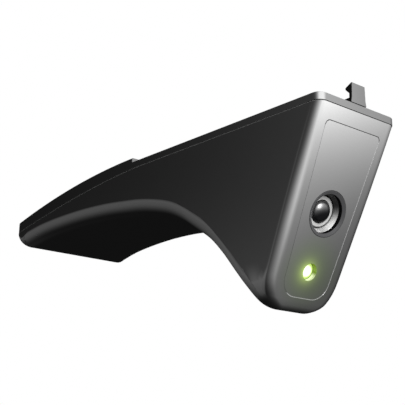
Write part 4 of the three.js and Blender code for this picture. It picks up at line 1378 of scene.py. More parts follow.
@dataclass
class Shell:
    """The lower shell: raked face, leg, arch and rear arm, with its bosses, pocket and holes."""

    form: Form
    least_round: float = 0.4
    middle_strip: float = 1.2
    boss_radius: float = 4.2
    cover_boss_radius: float = 3.6
    light_boss_radius: float = 2.8
    pilot_radius: float = 1.95
    pilot_sides: int = 20
    column: float = 24.0
    front_column: float = 17.0
    board_top: float = -36.3
    belly_gap: float = 1.4
    face_back: float = -2.9
    bracket_boss: float = -30.7
    light_boss: float = -13.1
    column_pilot: Flat = (14.0, 2.0)
    board_pilot: Flat = (-43.3, -35.0)
    bracket_pilot: Flat = (-31.5, -23.7)
    light_pilot: Flat = (-14.0, -8.1)
    face_hole: Flat = (-12.0, 4.0)
    hole_sides: int = 72
    pocket_gap: float = 0.3
    pocket_depth: float = 2.3
    pocket_soft: float = 0.25
    lens_hole: float = 20.5
    light_hole: float = 8.3

    def half_ring(self, spot: Station, rim_back: float, skin: Skin) -> list[Point]:
        """Gives one half ring, from the middle strip out to the rim.

        Args:
            spot: the station.
            rim_back: where the ring meets the rim.
            skin: the side of the wall.

        Returns:
            Its points.
        """
        form = self.form
        wall, side, edge, drop = 0.0, 0.0, spot.round, form.rim_round
        if skin is Skin.INNER:
            wall, side, drop = spot.wall, form.shell_wall, 0.0
            edge = max(spot.round - wall, self.least_round)
        points: list[Point] = []
        for k in range(form.fillet_steps + 1):
            angle = QUARTER * (1 - k / form.fillet_steps)
            point = spot.point + spot.inward * (wall + edge * (1 - math.sin(angle)))
            y = form.side_half(point.x, point.y) - side - edge * (1 - math.cos(angle))
            if k == 0:
                points.append((FACE.front - point.x, max(y - self.middle_strip, y * 0.5), point.y))
            points.append((FACE.front - point.x, y, point.y))
        shoulder = spot.point + spot.inward * (wall + edge)
        rim = Vector((rim_back, form.rim(rim_back) - drop))
        for share in form.side_shares:
            point = shoulder.lerp(rim, share)
            points.append((FACE.front - point.x, form.side_half(point.x, point.y) - side, point.y))
        return points

    def skin(self, skin: Skin) -> list[list[Point]]:
        """Gives the rings of one side of the wall.

        Args:
            skin: the side of the wall.

        Returns:
            The rings.
        """
        form = self.form
        stations = form.stations()
        rear_rim = form.body_length - 2 * form.rear_round
        last = stations[-1]
        front_rim = last.point.x + 1.5 * last.round * last.inward.x
        rings = []
        for i, spot in enumerate(stations):
            half = self.half_ring(spot, lerp(rear_rim, front_rim, i / (len(stations) - 1)), skin)
            rings.append([(x, -y, z) for x, y, z in reversed(half)] + half)
        drop = form.rim_round if skin is Skin.OUTER else 0.0
        for ring in (rings[0], rings[-1]):
            ring[:] = [(x, y, form.rim(FACE.front - x) - drop) for x, y, _ in ring]
        return rings

    def wall(self) -> Mesh:
        """Weaves both sides of the wall and its rounded rim.

        Returns:
            The closed mesh, with the inner side in a material of its own.
        """
        weave = Weave()
        outer, inner = ([weave.row(ring) for ring in self.skin(skin)] for skin in Skin)
        inside: list[bool] = []
        for i in range(len(outer) - 1):
            for j in range(len(outer[0]) - 1):
                weave.band(outer[i][j : j + 2], outer[i + 1][j : j + 2], False)
                weave.faces.append([inner[i + 1][j], inner[i + 1][j + 1], inner[i][j + 1], inner[i][j]])
                inside += [False, True]
        before, last = self.edge_of(outer), self.edge_of(inner)
        rim = RimRound(self.form.rim_round, 4).over([weave.points[i] for i in before], 1.0)
        for row in (*(weave.row(items) for items in rim), last):
            weave.band(row, before)
            before = row
        mesh = outward(mesh_of(weave.points, weave.faces))
        inside += [False] * (len(weave.faces) - len(inside))
        mesh.polygons.foreach_set("material_index", [int(x) for x in inside])
        return clad(mesh, Finishes.SHELL, Finishes.INNER)

    def edge_of(self, rings: Sequence[Sequence[int]]) -> list[int]:
        """Gives the point numbers round a side: first ring, one end, last ring and the other end."""
        there, back = [ring[-1] for ring in rings[1:-1]], [ring[0] for ring in rings[-2:0:-1]]
        return [*rings[0], *there, *reversed(rings[-1]), *back]

    def build(self) -> Object:
        """Builds the walls, then joins the bosses and cuts the pocket and the holes.

        Returns:
            The shell.
        """
        piece = new_object("lower_shell", self.wall())
        pocket = plate([Panel().outline(self.pocket_gap)], -self.pocket_depth, 8.0)
        pocket.transform(FACE.matrix())
        combine(piece, clad(gathered(self.bosses()), Finishes.INNER), "UNION")
        # The pocket's walls take the dark inner plastic as painted shade in the groove.
        combine(piece, clad(pocket, Finishes.INNER), "DIFFERENCE")
        combine(piece, gathered(self.holes()), "DIFFERENCE")
        self.soften_pocket(piece.data)
        smooth(piece.data)
        return piece

    def bosses(self) -> list[Mesh]:
        """Makes the screw bosses that stand inside the shell.

        Returns:
            One post for each.
        """
        posts = []
        for x, y, top in Screws.cover_columns(self.form):
            reach = self.front_column if x > FACE.front - Screws.cover_backs[1] else self.column
            posts.append(post((x, y, top - reach), self.cover_boss_radius, top))
        for x, y in Screws.board_places:
            low = self.form.belly_height(FACE.front - x) + self.belly_gap
            posts.append(post((x, y, low), self.boss_radius, self.board_top))
        for down, places, radius, low in (
            (FACE.lens_depth, Screws.bracket_places, self.boss_radius, self.bracket_boss),
            (FACE.light_depth, Screws.light_places, self.light_boss_radius, self.light_boss),
        ):
            posts += FACE.posts(down, places, radius, low, self.face_back)
        return posts

    def holes(self) -> list[Mesh]:
        """Makes the tools for the lens hole, the light hole and the pilots.

        Returns:
            One post for each.
        """
        tools = []
        for down, radius in ((FACE.lens_depth, self.lens_hole), (FACE.light_depth, self.light_hole)):
            tools += FACE.posts(down, [(0, 0)], radius, *self.face_hole, self.hole_sides)
        radius, sides, columns = self.pilot_radius, self.pilot_sides, Screws.cover_columns(self.form)
        below, above = self.column_pilot
        tools += [post((x, y, z - below), radius, z + above, sides) for x, y, z in columns]
        low, high = self.board_pilot
        tools += [post((x, y, low), radius, high, sides) for x, y in Screws.board_places]
        tools += FACE.posts(FACE.lens_depth, Screws.bracket_places, radius, *self.bracket_pilot, sides)
        return tools + FACE.posts(FACE.light_depth, Screws.light_places, radius, *self.light_pilot, sides)

    def soften_pocket(self, mesh: Mesh) -> None:
        """Rounds the pocket's rim, where it meets the face, and paints a highlight on its wall on the right.

        Args:
            mesh: the shell's mesh.
        """
        on_face, sharp = 2e-5, math.radians(60)
        lowest, highest, rightward = -0.3, -0.005, -0.7
        back, soft = FACE.matrix().inverted(), self.pocket_soft
        with editing(mesh) as form:
            near = {v for v in form.verts if abs((back @ v.co).z) < on_face}
            rim = [e for e in form.edges if near.issuperset(e.verts) and len(e.link_faces) == 2]
            rim = [e for e in rim if e.calc_face_angle(0) > sharp]
            bmesh.ops.bevel(form, geom=rim, offset=soft * MM, segments=2, profile=0.5, affect="EDGES")
        clad(mesh, Finishes.LIT_EDGE)
        for face in mesh.polygons:
            if lowest - soft < (back @ face.center).z / MM < highest and face.normal.y < rightward:
                face.material_index = len(mesh.materials) - 1


@dataclass
class Cover:
    """The top cover: flat seat, step and falling rear end."""

    form: Form
    wall: float = 2.6
    corner: float = 9.0
    corner_steps: int = 10
    seat_steps: int = 24
    rear_steps: int = 30
    top_round: float = 1.0
    low_round: float = 0.2
    pad_radius: float = 6.0
    boss_radius: float = 4.2
    slot_half: float = 6.4
    slot_rear: float = 103.6
    slot_front: float = 117.4

    def half_outline(self, inset: float) -> list[tuple[float, float, bool]]:
        """Gives the left half of the plan outline, from the front to the rear.

        Args:
            inset: how far it is drawn in, in millimetres.

        Returns:
            Distance back, distance across, and whether the point is past the step.
        """
        form = self.form
        front, rear = form.half_width(0) - inset, form.half_width(form.body_length) - inset
        end = form.body_length - inset
        first = (inset, -front, self.corner - inset)
        second = (end, -rear, max(form.rear_round - inset, 1.0))
        arc = rounded([(inset, front, 0), first, second, (end, rear, 0)], self.corner_steps)[1:-1]
        near, far = arc[: self.corner_steps + 1], arc[self.corner_steps + 1 :]
        (a, ya), (b, yb) = near[-1], far[0]
        step = form.seat_length + (self.wall if inset else 0.0)
        seat = [lerp(a, step, k / self.seat_steps) for k in range(1, self.seat_steps)] + [step]
        tail = [step] + [lerp(step, b, k / self.rear_steps) for k in range(1, self.rear_steps)]
        out = [(x, y, False) for x, y in near]
        for backs, past in ((seat, False), (tail, True)):
            out += [(back, ya + (yb - ya) * (back - a) / (b - a), past) for back in backs]
        return out + [(x, y, True) for x, y in far]

    def loops(self, inset: float, drop: float, soft: float) -> tuple[list[Point], list[Point]]:
        """Gives the lower and the upper closed edge of one side of the wall.

        Args:
            inset: how far it is drawn in.
            drop: how far its top lies under the cover's.
            soft: how far its top edge is rounded.

        Returns:
            The lower edge and the upper edge.
        """
        form, low, high = self.form, [], []
        for back, y, past in self.half_outline(inset):
            low.append((FACE.front - back, y, form.parting(back) + form.seam_gap / 2))
            high.append((FACE.front - back, y, (form.top(back) if past else 0.0) - drop - soft))
        low, high = (row + [(x, -y, z) for x, y, z in reversed(row)] for row in (low, high))
        return low, high

    def shape(self) -> Mesh:
        """Weaves the cover's walls.

        Returns:
            The closed mesh.
        """
        weave = Weave()
        low, high = self.loops(0.0, 0.0, self.top_round)
        low = [(x, y, z + self.low_round) for x, y, z in low]
        rows = [*reversed(RimRound(self.low_round, 3).over(low, -1.0)), low, high]
        rows += RimRound(self.top_round, 5).over(high, 1.0)
        rows = [weave.row(items) for items in rows]
        for first, second in zip(rows, rows[1:]):
            weave.band(first, second)
        half = len(high) // 2
        weave.band(rows[-1][:half], rows[-1][: half - 1 : -1], False)
        foot, (low, high) = rows[0], (weave.row(items) for items in self.loops(self.wall, self.wall, 0.0))
        for j in range(len(low)):
            n = (j + 1) % len(low)
            weave.faces += [[low[n], low[j], high[j], high[n]], [low[j], low[n], foot[n], foot[j]]]
        weave.band(high[: half - 1 : -1], high[:half], False)
        return outward(mesh_of(weave.points, weave.faces))

    def build(self) -> Object:
        """Builds the cover, then joins its screw pads and cuts its holes.

        Returns:
            The cover.
        """
        piece = new_object("upper_cover", clad(self.shape(), Finishes.COVER, Finishes.INNER))
        combine(piece, self.pads(), "UNION")
        combine(piece, self.cuts(), "DIFFERENCE")
        smooth(piece.data)
        return piece

    def pads(self) -> Mesh:
        """Makes the pads under the screw heads and the two guide bosses, in one mesh."""
        pads = [post((x, y, z - 2.9), self.pad_radius, z + 1.9) for x, y, z in Screws.cover_places(self.form)]
        guides = [post((x, y, -8.0), self.boss_radius, -1.3) for x, y in Screws.guide_places]
        return gathered(pads + guides)

    def cuts(self) -> Mesh:
        """Makes what is cut from the cover: screw seats and holes, the latch slot and the socket openings.

        Returns:
            One mesh of separate tools.
        """
        tools = []
        shank, head, seat_rise = 1.95, 3.65, -0.3
        profile = [(0, -9), (shank, -9), (shank, seat_rise), (head, seat_rise), (head, 12), (0, 12)]
        for x, y, z in Screws.cover_places(self.form):
            tools.append(turned(profile, False, 40))
            tools[-1].transform(Matrix.Translation((x * MM, y * MM, z * MM)))
        latch_slot = ((self.slot_rear, -self.slot_half, -6.0), (self.slot_front, self.slot_half, 4.0))
        inlet = ((-370.0, -20.9, -34.4), (-342.2, -11.1, -26.0))
        data_port = ((-370.0, 7.8, -34.4), (-345.2, 18.2, -30.0))
        return gathered(tools + [block(*corners) for corners in (latch_slot, inlet, data_port)])


@dataclass
class Panel:
    """The silver panel that is set into the raked face."""

    top: float = 14.7
    bottom: float = 172.4
    top_half: float = 35.0
    bottom_half: float = 26.6
    top_round: float = 4.5
    bottom_round: float = 17.0
    corner_steps: int = 14
    thickness: float = 2.0
    lens_hole: float = 21.6
    light_hole: float = 8.0
    soft: float = 0.3
    lip: float = 0.4
    lip_low: float = -1.7
    lip_high: float = -0.25
    lip_setback: float = 1.0
    # How far down the face the painted shade in the groove reaches, on the left and on the right.
    dark_left: float = 80.0
    dark_right: float = 4.0
    hole_margin: float = 2.0
    foot_margin: float = 3.0

    def outline(self, grow: float = 0.0) -> list[Flat]:
        """Gives the panel's outline on the face.

        Args:
            grow: how far it is widened, in millimetres.

        Returns:
            Its points.
        """
        top = (self.top_half + grow, -self.top + grow, self.top_round)
        low = (self.bottom_half + grow, -self.bottom - grow, self.bottom_round)
        left = [(-x, y, radius) for x, y, radius in (top, low)]
        return rounded([*left, low, top], self.corner_steps)

    def hole(self, down: float, radius: float, sides: int) -> list[Flat]:
        """Gives the outline of a round hole at a distance down the face."""
        turns = (2 * math.pi * k / sides for k in range(sides))
        return [(radius * math.cos(a), -down + radius * math.sin(a)) for a in turns]

    def outlines(self, grow: float, back: float) -> list[list[Flat]]:
        """Gives the outline, widened by one amount, and its two holes, widened by another."""
        lens = self.hole(FACE.lens_depth, self.lens_hole + back, 96)
        return [self.outline(grow), lens, self.hole(FACE.light_depth, self.light_hole + back, 64)]

    def build(self) -> Object:
        """Builds the panel with its two holes and the lip round it.

        Returns:
            The panel.
        """
        piece = new_object("face_panel", plate(self.outlines(0.0, 0.0), -self.thickness, 0.0, self.soft))
        combine(piece, plate(self.outlines(self.lip, self.lip_setback), self.lip_low, self.lip_high), "UNION")
        piece.data.materials.clear()
        # The lip's rim is painted: a highlight at the right and the bottom, shade at the top and the upper
        # left.
        clad(piece.data, Finishes.PANEL, Finishes.LIT_EDGE, Finishes.INNER)
        for face in piece.data.polygons:
            face.material_index = self.rim_slot(face)
        piece.data.transform(FACE.matrix())
        smooth(piece.data)
        return piece

    def rim_slot(self, face: bpy.types.MeshPolygon) -> int:
        """Tells which finish a facet gets: the panel's, the rim's painted highlight or the groove's painted
        shade.

        Args:
            face: the facet, on the flat face.

        Returns:
            0 for the panel, 1 for the painted highlight on the rim at the right and the bottom, 2 for the
            painted shade on its top and the upper left.
        """
        place = face.center / MM
        if face.normal.z > 0.97 and place.z > -0.1 or place.z < -1.0:
            return 0
        for down, radius in ((FACE.lens_depth, self.lens_hole), (FACE.light_depth, self.light_hole)):
            if math.hypot(place.x, place.y + down) < radius + self.hole_margin:
                return 0
        right = place.x > 0
        if -place.y < (self.top + self.dark_right if right else self.dark_left):
            return 2
        return int(right or -place.y > self.bottom - self.foot_margin)


# ---------------------------------------------------------------- geometry node trees


class Grower(Wiring):
    """A Geometry Nodes tree with named sizes, whose result becomes a plain mesh."""

    def __init__(self, name: str) -> None:
        """Starts the tree.

        Args:
            name: the tree's name.
        """
        super().__init__(bpy.data.node_groups.new(name, "GeometryNodeTree"))
        self.sockets: dict[str, str] = {}
        self.declare("Places", "Geometry")
        self.declare("Finish", "Material")
        self.tree.interface.new_socket("Piece", in_out="OUTPUT", socket_type="NodeSocketGeometry")
        self.inputs = self.node("NodeGroupInput")

    def declare(self, name: str, kind: str) -> None:
        """Adds a named input of a kind."""
        socket = self.tree.interface.new_socket(name, in_out="INPUT", socket_type="NodeSocket" + kind)
        self.sockets[name] = socket.identifier

    def size(self, name: str, kind: str = "Float") -> Term:
        """Adds a named size and gives it as a term."""
        self.declare(name, kind)
        return Term(self, self.inputs.outputs[name])

    def made(self, kind: str, inputs: Mapping[str, object], **settings: object) -> Socket:
        """Adds a geometry node and gives its first output."""
        return self.node("GeometryNode" + kind, inputs, **settings).outputs[0]

    def close(self, result: Socket) -> None:
        """Ends the tree in Realize Instances and Set Material.

        Args:
            result: the geometry to put out.
        """
        real = self.made("RealizeInstances", {"Geometry": result})
        even = self.made("SetShadeSmooth", {"Geometry": real, "Shade Smooth": True})
        dressed = self.made("SetMaterial", {"Geometry": even, "Material": self.inputs.outputs["Finish"]})
        self.feed(self.node("NodeGroupOutput").inputs[0], dressed)

    def grown(self, name: str, places: Mesh, finish: Finish, sizes: Mapping[str, float]) -> Object:
        """Runs the tree and keeps its result.

        Args:
            name: the piece's name.
            places: mesh that the tree starts from.
            finish: the piece's finish.
            sizes: the value of each named size, in metres where it is a length.

        Returns:
            The piece, as a plain mesh.
        """
        holder = new_object(name, places)
        modifier = holder.modifiers.new("grow", "NODES")
        modifier.node_group = self.tree
        modifier[self.sockets["Finish"]] = finish.material()
        for key, value in sizes.items():
            modifier[self.sockets[key]] = value
        mesh = evaluated_mesh(holder)
        bpy.data.objects.remove(holder)
        mesh.set_sharp_from_angle(angle=math.radians(35))
        return new_object(name, mesh)


class ScrewGrower(Grower):
    """Grows socket head screws, head up, at each place."""

    OVERLAP = 0.0004
    HEAD_TAPER = 0.86
    SOCKET_RISE = 0.98

    def __init__(self) -> None:
        """Wires the tree."""
        super().__init__("screws")
        head_radius, head_height = self.size("Head radius"), self.size("Head height")
        shank_radius, length = self.size("Shank radius"), self.size("Length")
        socket = self.size("Socket radius")
        top = head_radius * self.HEAD_TAPER
        inputs = {"Vertices": 36, "Radius Top": top, "Radius Bottom": head_radius, "Depth": head_height}
        head = self.made("MeshCone", inputs)
        deep = length + self.OVERLAP
        shank = self.made("MeshCylinder", {"Vertices": 24, "Radius": shank_radius, "Depth": deep})
        lower = self.xyz(z=self.OVERLAP - deep * 0.5)
        shank = self.made("Transform", {"Geometry": shank, "Translation": lower})
        key = self.made("MeshCylinder", {"Vertices": 6, "Radius": socket, "Depth": head_height})
        upper = self.xyz(z=head_height * self.SOCKET_RISE)
        key = self.made("Transform", {"Geometry": key, "Translation": upper})
        whole = self.made("MeshBoolean", {"Mesh 2": [head, shank]}, operation="UNION", solver="EXACT")
        screw = self.made("MeshBoolean", {"Mesh 1": whole, "Mesh 2": key}, operation="DIFFERENCE")
        places = self.inputs.outputs["Places"]
        self.close(self.made("InstanceOnPoints", {"Points": places, "Instance": screw}))


@dataclass
class Screws:
    """Every screw, in sets that share a length and a direction.

    Places are in millimetres. The bracket's are about the lens axis and the light board's about the light's.
    """

    head_radius: float = 3.3
    head_height: float = 2.2
    shank_radius: float = 1.6
    socket_radius: float = 1.55
    cover_backs: tuple[float, ...] = (16.0, 234.0, 452.0)
    board_places: tuple[Flat, ...] = ((-139.0, -43.0), (-139.0, 43.0), (-337.0, -43.0), (-337.0, 43.0))
    guide_places: tuple[Flat, ...] = ((70.0, -9.4), (70.0, 9.4))
    bracket_places: tuple[Flat, ...] = ((-32.0, -21.0), (-32.0, 21.0), (32.0, -21.0), (32.0, 21.0))
    light_places: tuple[Flat, ...] = ((-8.6, 8.6), (8.6, 8.6))

    @classmethod
    def cover_places(cls, form: Form) -> list[Point]:
        """Gives the seats of the cover's screws.

        Args:
            form: the body's form.

        Returns:
            Place and height of each seat, in millimetres.
        """
        side_gap, head_reach, sunk = 6.5, 3.3, 2.5
        out = []
        for back in cls.cover_backs:
            top = form.top(back + head_reach) if back + head_reach >= form.seat_length else 0.0
            half = form.half_width(back) - side_gap
            out += [(FACE.front - back, y, top - sunk) for y in (-half, half)]
        return out

    @classmethod
    def cover_columns(cls, form: Form) -> list[Point]:
        """Gives the top of each column under the cover's pads."""
        return [(x, y, seat - 3.2) for x, y, seat in cls.cover_places(form)]

    def build(self, form: Form) -> None:
        """Grows the five sets and dresses them.

        Args:
            form: the body's form.
        """
        tree = ScrewGrower()
        upright, turn = Matrix.Identity(4), Matrix.Rotation(math.pi, 4, "X")
        lens, light = (FACE.matrix(down) @ turn for down in (FACE.lens_depth, FACE.light_depth))
        sets = (
            ("cover_screw", self.cover_places(form), 14.0, upright),
            ("board_screw", [(x, y, -34.1) for x, y in self.board_places], 7.0, upright),
            ("guide_screw", [(x, -y, 11.1) for x, y in self.guide_places], 7.0, turn),
            ("bracket_screw", [(x, -y, 34.3) for x, y in self.bracket_places], 7.0, lens),
            ("light_screw", [(x, -y, 16.9) for x, y in self.light_places], 5.0, light),
        )
        for node, places, length, matrix in sets:
            sizes = {
                "Head radius": self.head_radius * MM,
                "Head height": self.head_height * MM,
                "Shank radius": self.shank_radius * MM,
                "Length": length * MM,
                "Socket radius": self.socket_radius * MM,
            }
            piece = tree.grown(node + "s", mesh_of(places), Finishes.STEEL, sizes)
            piece.data.transform(matrix)
            nodes = [f"{node}_{k + 1}" for k in range(len(places))]
            dress(piece, Finishes.STEEL, Body.HOUSING, "steel", nodes)


class SpringGrower(Grower):
    """Grows a wire spring along X, from its rear end."""

    def __init__(self) -> None:
        """Wires the tree."""
        super().__init__("wire spring")
        turns, radius = self.size("Turns"), self.size("Radius")
        wire, length = self.size("Wire radius"), self.size("Length")
        inputs = {"Rotations": turns, "Start Radius": radius, "End Radius": radius, "Height": length}
        coil = self.made("CurveSpiral", {"Resolution": 24, **inputs})
        section = self.made("CurvePrimitiveCircle", {"Resolution": 8, "Radius": wire})
        tube = self.made("CurveToMesh", {"Curve": coil, "Profile Curve": section, "Fill Caps": True})
        self.close(self.made("Transform", {"Geometry": tube, "Rotation": (0.0, QUARTER, 0.0)}))


class RibGrower(Grower):
    """Grows even ribs round a turned ring."""

    RIB_DEPTH = 1.2

    def __init__(self) -> None:
        """Wires the tree."""
        super().__init__("grip ribs")
        count, radius = self.size("Ribs", "Int"), self.size("Radius")
        wide, long = self.size("Rib width"), self.size("Rib length")
        circle = self.made("MeshCircle", {"Vertices": count, "Radius": radius})
        rib = self.made("MeshCube", {"Size": self.xyz(wide * self.RIB_DEPTH, wide, long)})
        place = self.made("InputPosition", {})
        turn = self.node("FunctionNodeAlignRotationToVector", {"Vector": place}, axis="X").outputs[0]
        many = self.made("InstanceOnPoints", {"Points": circle, "Instance": rib, "Rotation": turn})
        self.close(self.made("JoinGeometry", {"Geometry": [many, self.inputs.outputs["Places"]]}))


class FinGrower(Grower):
    """Grows a row of fins on a base plate, across Y."""

    SETBACK = 0.0004
    STANDING = 0.8

    def __init__(self) -> None:
        """Wires the tree."""
        super().__init__("cooling fins")
        count, thick = self.size("Fins", "Int"), self.size("Thickness")
        side, high, base = self.size("Side"), self.size("Height"), self.size("Base")
        within = side - self.SETBACK
        span = within - thick
        tall = high - base * self.STANDING
        start = self.xyz(y=span * -0.5, z=high - tall * 0.5)
        offset = self.xyz(y=span / (count - 1.0))
        line = self.made("MeshLine", {"Count": count, "Start Location": start, "Offset": offset})
        fin = self.made("MeshCube", {"Size": self.xyz(within, thick, tall)})
        row = self.made("InstanceOnPoints", {"Points": line, "Instance": fin})
        fins = self.made("RealizeInstances", {"Geometry": row})
        sole = self.made("MeshCube", {"Size": self.xyz(side, side, base)})
        sole = self.made("Transform", {"Geometry": sole, "Translation": self.xyz(z=base * 0.5)})
        self.close(self.made("JoinGeometry", {"Geometry": [fins, sole]}))


# ---------------------------------------------------------------- the camera lens


@dataclass
class Lens:
    """The camera lens in the face: bezel, hood, ring, glass, focus ring and flange.

    Radii, and depths from the face, in millimetres.
    """

    sides: int = 128
    bezel_radius: float = 21.3
    bezel_body: float = 20.2
    bezel_depth: float = 13.0
    bezel_seat: float = 2.0
    opening: float = 18.1
    chamfer: float = 1.2
    bore: float = 19.1
    hood_radius: float = 17.0
    hood_front: float = 18.5
    hood_setback: float = 5.6
    hood_groove: float = 1.0
    barrel_length: float = 30.0
    barrel_neck: float = 13.2
    barrel_wall: float = 4.8
    ring_radius: float = 14.5
    ring_setback: float = 9.8
    ring_depth: float = 2.3
    ring_lip: float = 0.4
    glass_radius: float = 10.5
    glass_bulge: float = 6.6
    glass_steps: int = 24
    focus_start: float = 17.0
    focus_length: float = 9.0
    focus_radius: float = 17.4
    ribs: int = 60
    clearance: float = 0.4
    lock_hole: float = 1.85
    rib_width: float = 1.0
    rib_sunk: float = 0.14
    rib_margin: float = 1.6
    flange_back: float = 39.3
    flange_front: float = 34.3

    def bezel(self) -> Mesh:
        """Turns the chamfered bezel, painted dark inside its opening as shade."""
        body, seat, mouth = self.bezel_body, -self.bezel_seat, self.opening
        profile = [
            (self.bore, -self.bezel_depth),
            (body, -self.bezel_depth),
            (body, seat),
            (self.bezel_radius, seat),
            (self.bezel_radius, 0.0),
            (self.bezel_radius - 0.5, 0.0),
            (mouth, -self.chamfer),
            (mouth, seat),
            (self.bore, seat - 1.0),
        ]
        mesh = clad(turned(profile, True, self.sides, 0.2), Finishes.BEZEL, Finishes.BORE)
        for face in mesh.polygons:
            place = face.center / MM
            inside = math.hypot(place.x, place.y) < body - 0.2
            face.material_index = int(inside and place.z < -self.chamfer - 0.1)
        return mesh

    def barrel(self) -> Mesh:
        """Turns the barrel with its flared hood."""
        back, neck = -self.hood_setback - self.barrel_length, self.barrel_neck
        front, step, ring = -self.hood_setback, -self.focus_start + self.clearance, -self.ring_setback
        bore, groove = neck - self.barrel_wall, self.ring_radius + self.hood_groove
        profile = [
            (bore, back),
            (neck, back),
            (neck, step),
            (self.hood_radius, step),
            (self.hood_radius, ring - 1.0),
            (self.hood_front, ring + 1.0),
            (self.hood_front, front),
            (self.hood_front - 0.4, front),
            (groove, ring),
            (groove, ring + front),
            (bore, ring + front),
        ]
        return turned(profile, True, self.sides, 0.25)

    def retaining_ring(self) -> Mesh:
        """Turns the ring that holds the glass."""
        front, inner, outer = -self.ring_setback, self.glass_radius + 0.3, self.ring_radius
        profile = [
            (inner, front - self.ring_depth),
            (outer, front - self.ring_depth),
            (outer, front - self.ring_lip),
            (outer - 2 * self.ring_lip, front),
            (inner + 0.3, front),
            (inner, front - self.ring_lip),
        ]
        return turned(profile, True, self.sides, 0.15)

    def glass(self) -> Mesh:
        """Turns the domed front glass."""
        base, rise = -self.ring_setback - self.hood_setback + 0.3, -self.ring_setback - 0.8
        profile: list[Flat] = [(0, base), (self.glass_radius, base), (self.glass_radius, rise)]
        profile += dome(self.glass_radius, rise, self.glass_bulge, self.glass_steps)
        return turned(profile, False, self.sides)

    def flange(self) -> Mesh:
        """Turns the flange that seats the lens on the camera."""
        inner, outer = self.barrel_neck + self.clearance, self.hood_radius
        back, front = -self.flange_back, -self.flange_front
        return turned([(inner, back), (outer, back), (outer, front), (inner, front)], True, 96, 0.5)

    def lock_screw(self) -> Mesh:
        """Turns the thumb screw of the focus ring."""
        profile = [(0, 13.6), (1.5, 13.6), (1.5, 17.7), (3.0, 17.7), (3.0, 23.4), (0, 23.4)]
        mesh = turned(profile, False, 40, 0.4)
        middle = (0, 0, (-self.focus_start - self.focus_length / 2) * MM)
        mesh.transform(Matrix.Translation(middle) @ Matrix.Rotation(-QUARTER, 4, "X"))
        return mesh

    def focus_ring(self) -> Object:
        """Grows the ribbed focus ring, with the hole of its thumb screw.

        Returns:
            The ring.
        """
        inner, land, half = self.barrel_neck + self.clearance, self.focus_radius - 0.5, self.focus_length / 2
        ring = turned([(inner, -half), (land, -half), (land, half), (inner, half)], True, self.sides, 0.4)
        sizes = {
            "Ribs": self.ribs,
            "Radius": (land - self.rib_sunk) * MM,
            "Rib width": self.rib_width * MM,
            "Rib length": (self.focus_length - self.rib_margin) * MM,
        }
        piece = RibGrower().grown("grip_ring", ring, Finishes.FOCUS, sizes)
        hole = post((0, 0, 10.0), self.lock_hole, 24.0, 32)
        hole.transform(Matrix.Rotation(-QUARTER, 4, "X"))
        combine(piece, hole, "DIFFERENCE")
        middle = Matrix.Translation((0, 0, (-self.focus_start - half) * MM))
        piece.data.transform(FACE.matrix(FACE.lens_depth) @ middle)
        return piece

    def build(self) -> None:
        """Builds every piece on the lens axis and dresses it."""
        fixed, turning = Body.HOUSING, Body.FOCUS
        ring = self.retaining_ring
        pieces = (
            ("chamfered_bezel", self.bezel, Finishes.BEZEL, "bezel", "lens_bezel", fixed),
            ("flared_barrel", self.barrel, Finishes.LENS_METAL, "lens_metal", "lens_barrel", fixed),
            ("retaining_ring", ring, Finishes.RING, "lens_metal", "lens_retaining_ring", fixed),
            ("front_glass", self.glass, Finishes.GLASS, "lens_glass", "lens_front_glass", fixed),
            ("mount_flange", self.flange, Finishes.ALLOY, "alloy", "lens_flange", fixed),
            ("lock_screw", self.lock_screw, Finishes.STEEL, "steel", "focus_lock_screw", turning),
        )
        for name, make, finish, slot, node, body in pieces:
            mesh = make()
            mesh.transform(FACE.matrix(FACE.lens_depth))
            dress(new_object(name, smooth(mesh)), finish, body, slot, [node])
        dress(self.focus_ring(), Finishes.FOCUS, turning, "focus_black", ["focus_ring"])


def dome(radius: float, base: float, rise: float, steps: int) -> list[Flat]:
    """Gives a dome's profile, from beside its rim, at a radius and a height, to the axis."""
    turns = (QUARTER * k / steps for k in range(1, steps))
    return [(radius * math.cos(a), base + rise * math.sin(a)) for a in turns] + [(0, base + rise)]


@dataclass
class StatusLight:
    """The round green light low on the face."""

    radius: float = 7.7
    dome: float = 6.2
    setback: float = 4.6
    depth: float = 13.2
    bevel: float = 0.8
    steps: int = 14

    def build(self) -> None:
        """Turns the clear lens of the light and dresses it."""
        front, rim = -self.setback, -self.setback - self.bevel
        profile = [
            (0, -self.depth),
            (self.radius - self.bevel, -self.depth),
            (self.radius, -self.depth + self.bevel),
            (self.radius, rim),
            (self.radius - self.bevel, front),
            (self.dome, rim),
        ]
        mesh = turned(profile + dome(self.dome, rim, self.dome / 2, self.steps), False, 64)
        mesh.transform(FACE.matrix(FACE.light_depth))
        piece = new_object("status_light", smooth(mesh))
        dress(piece, Finishes.LIGHT, Body.HOUSING, "light_lens", ["light_guide"])


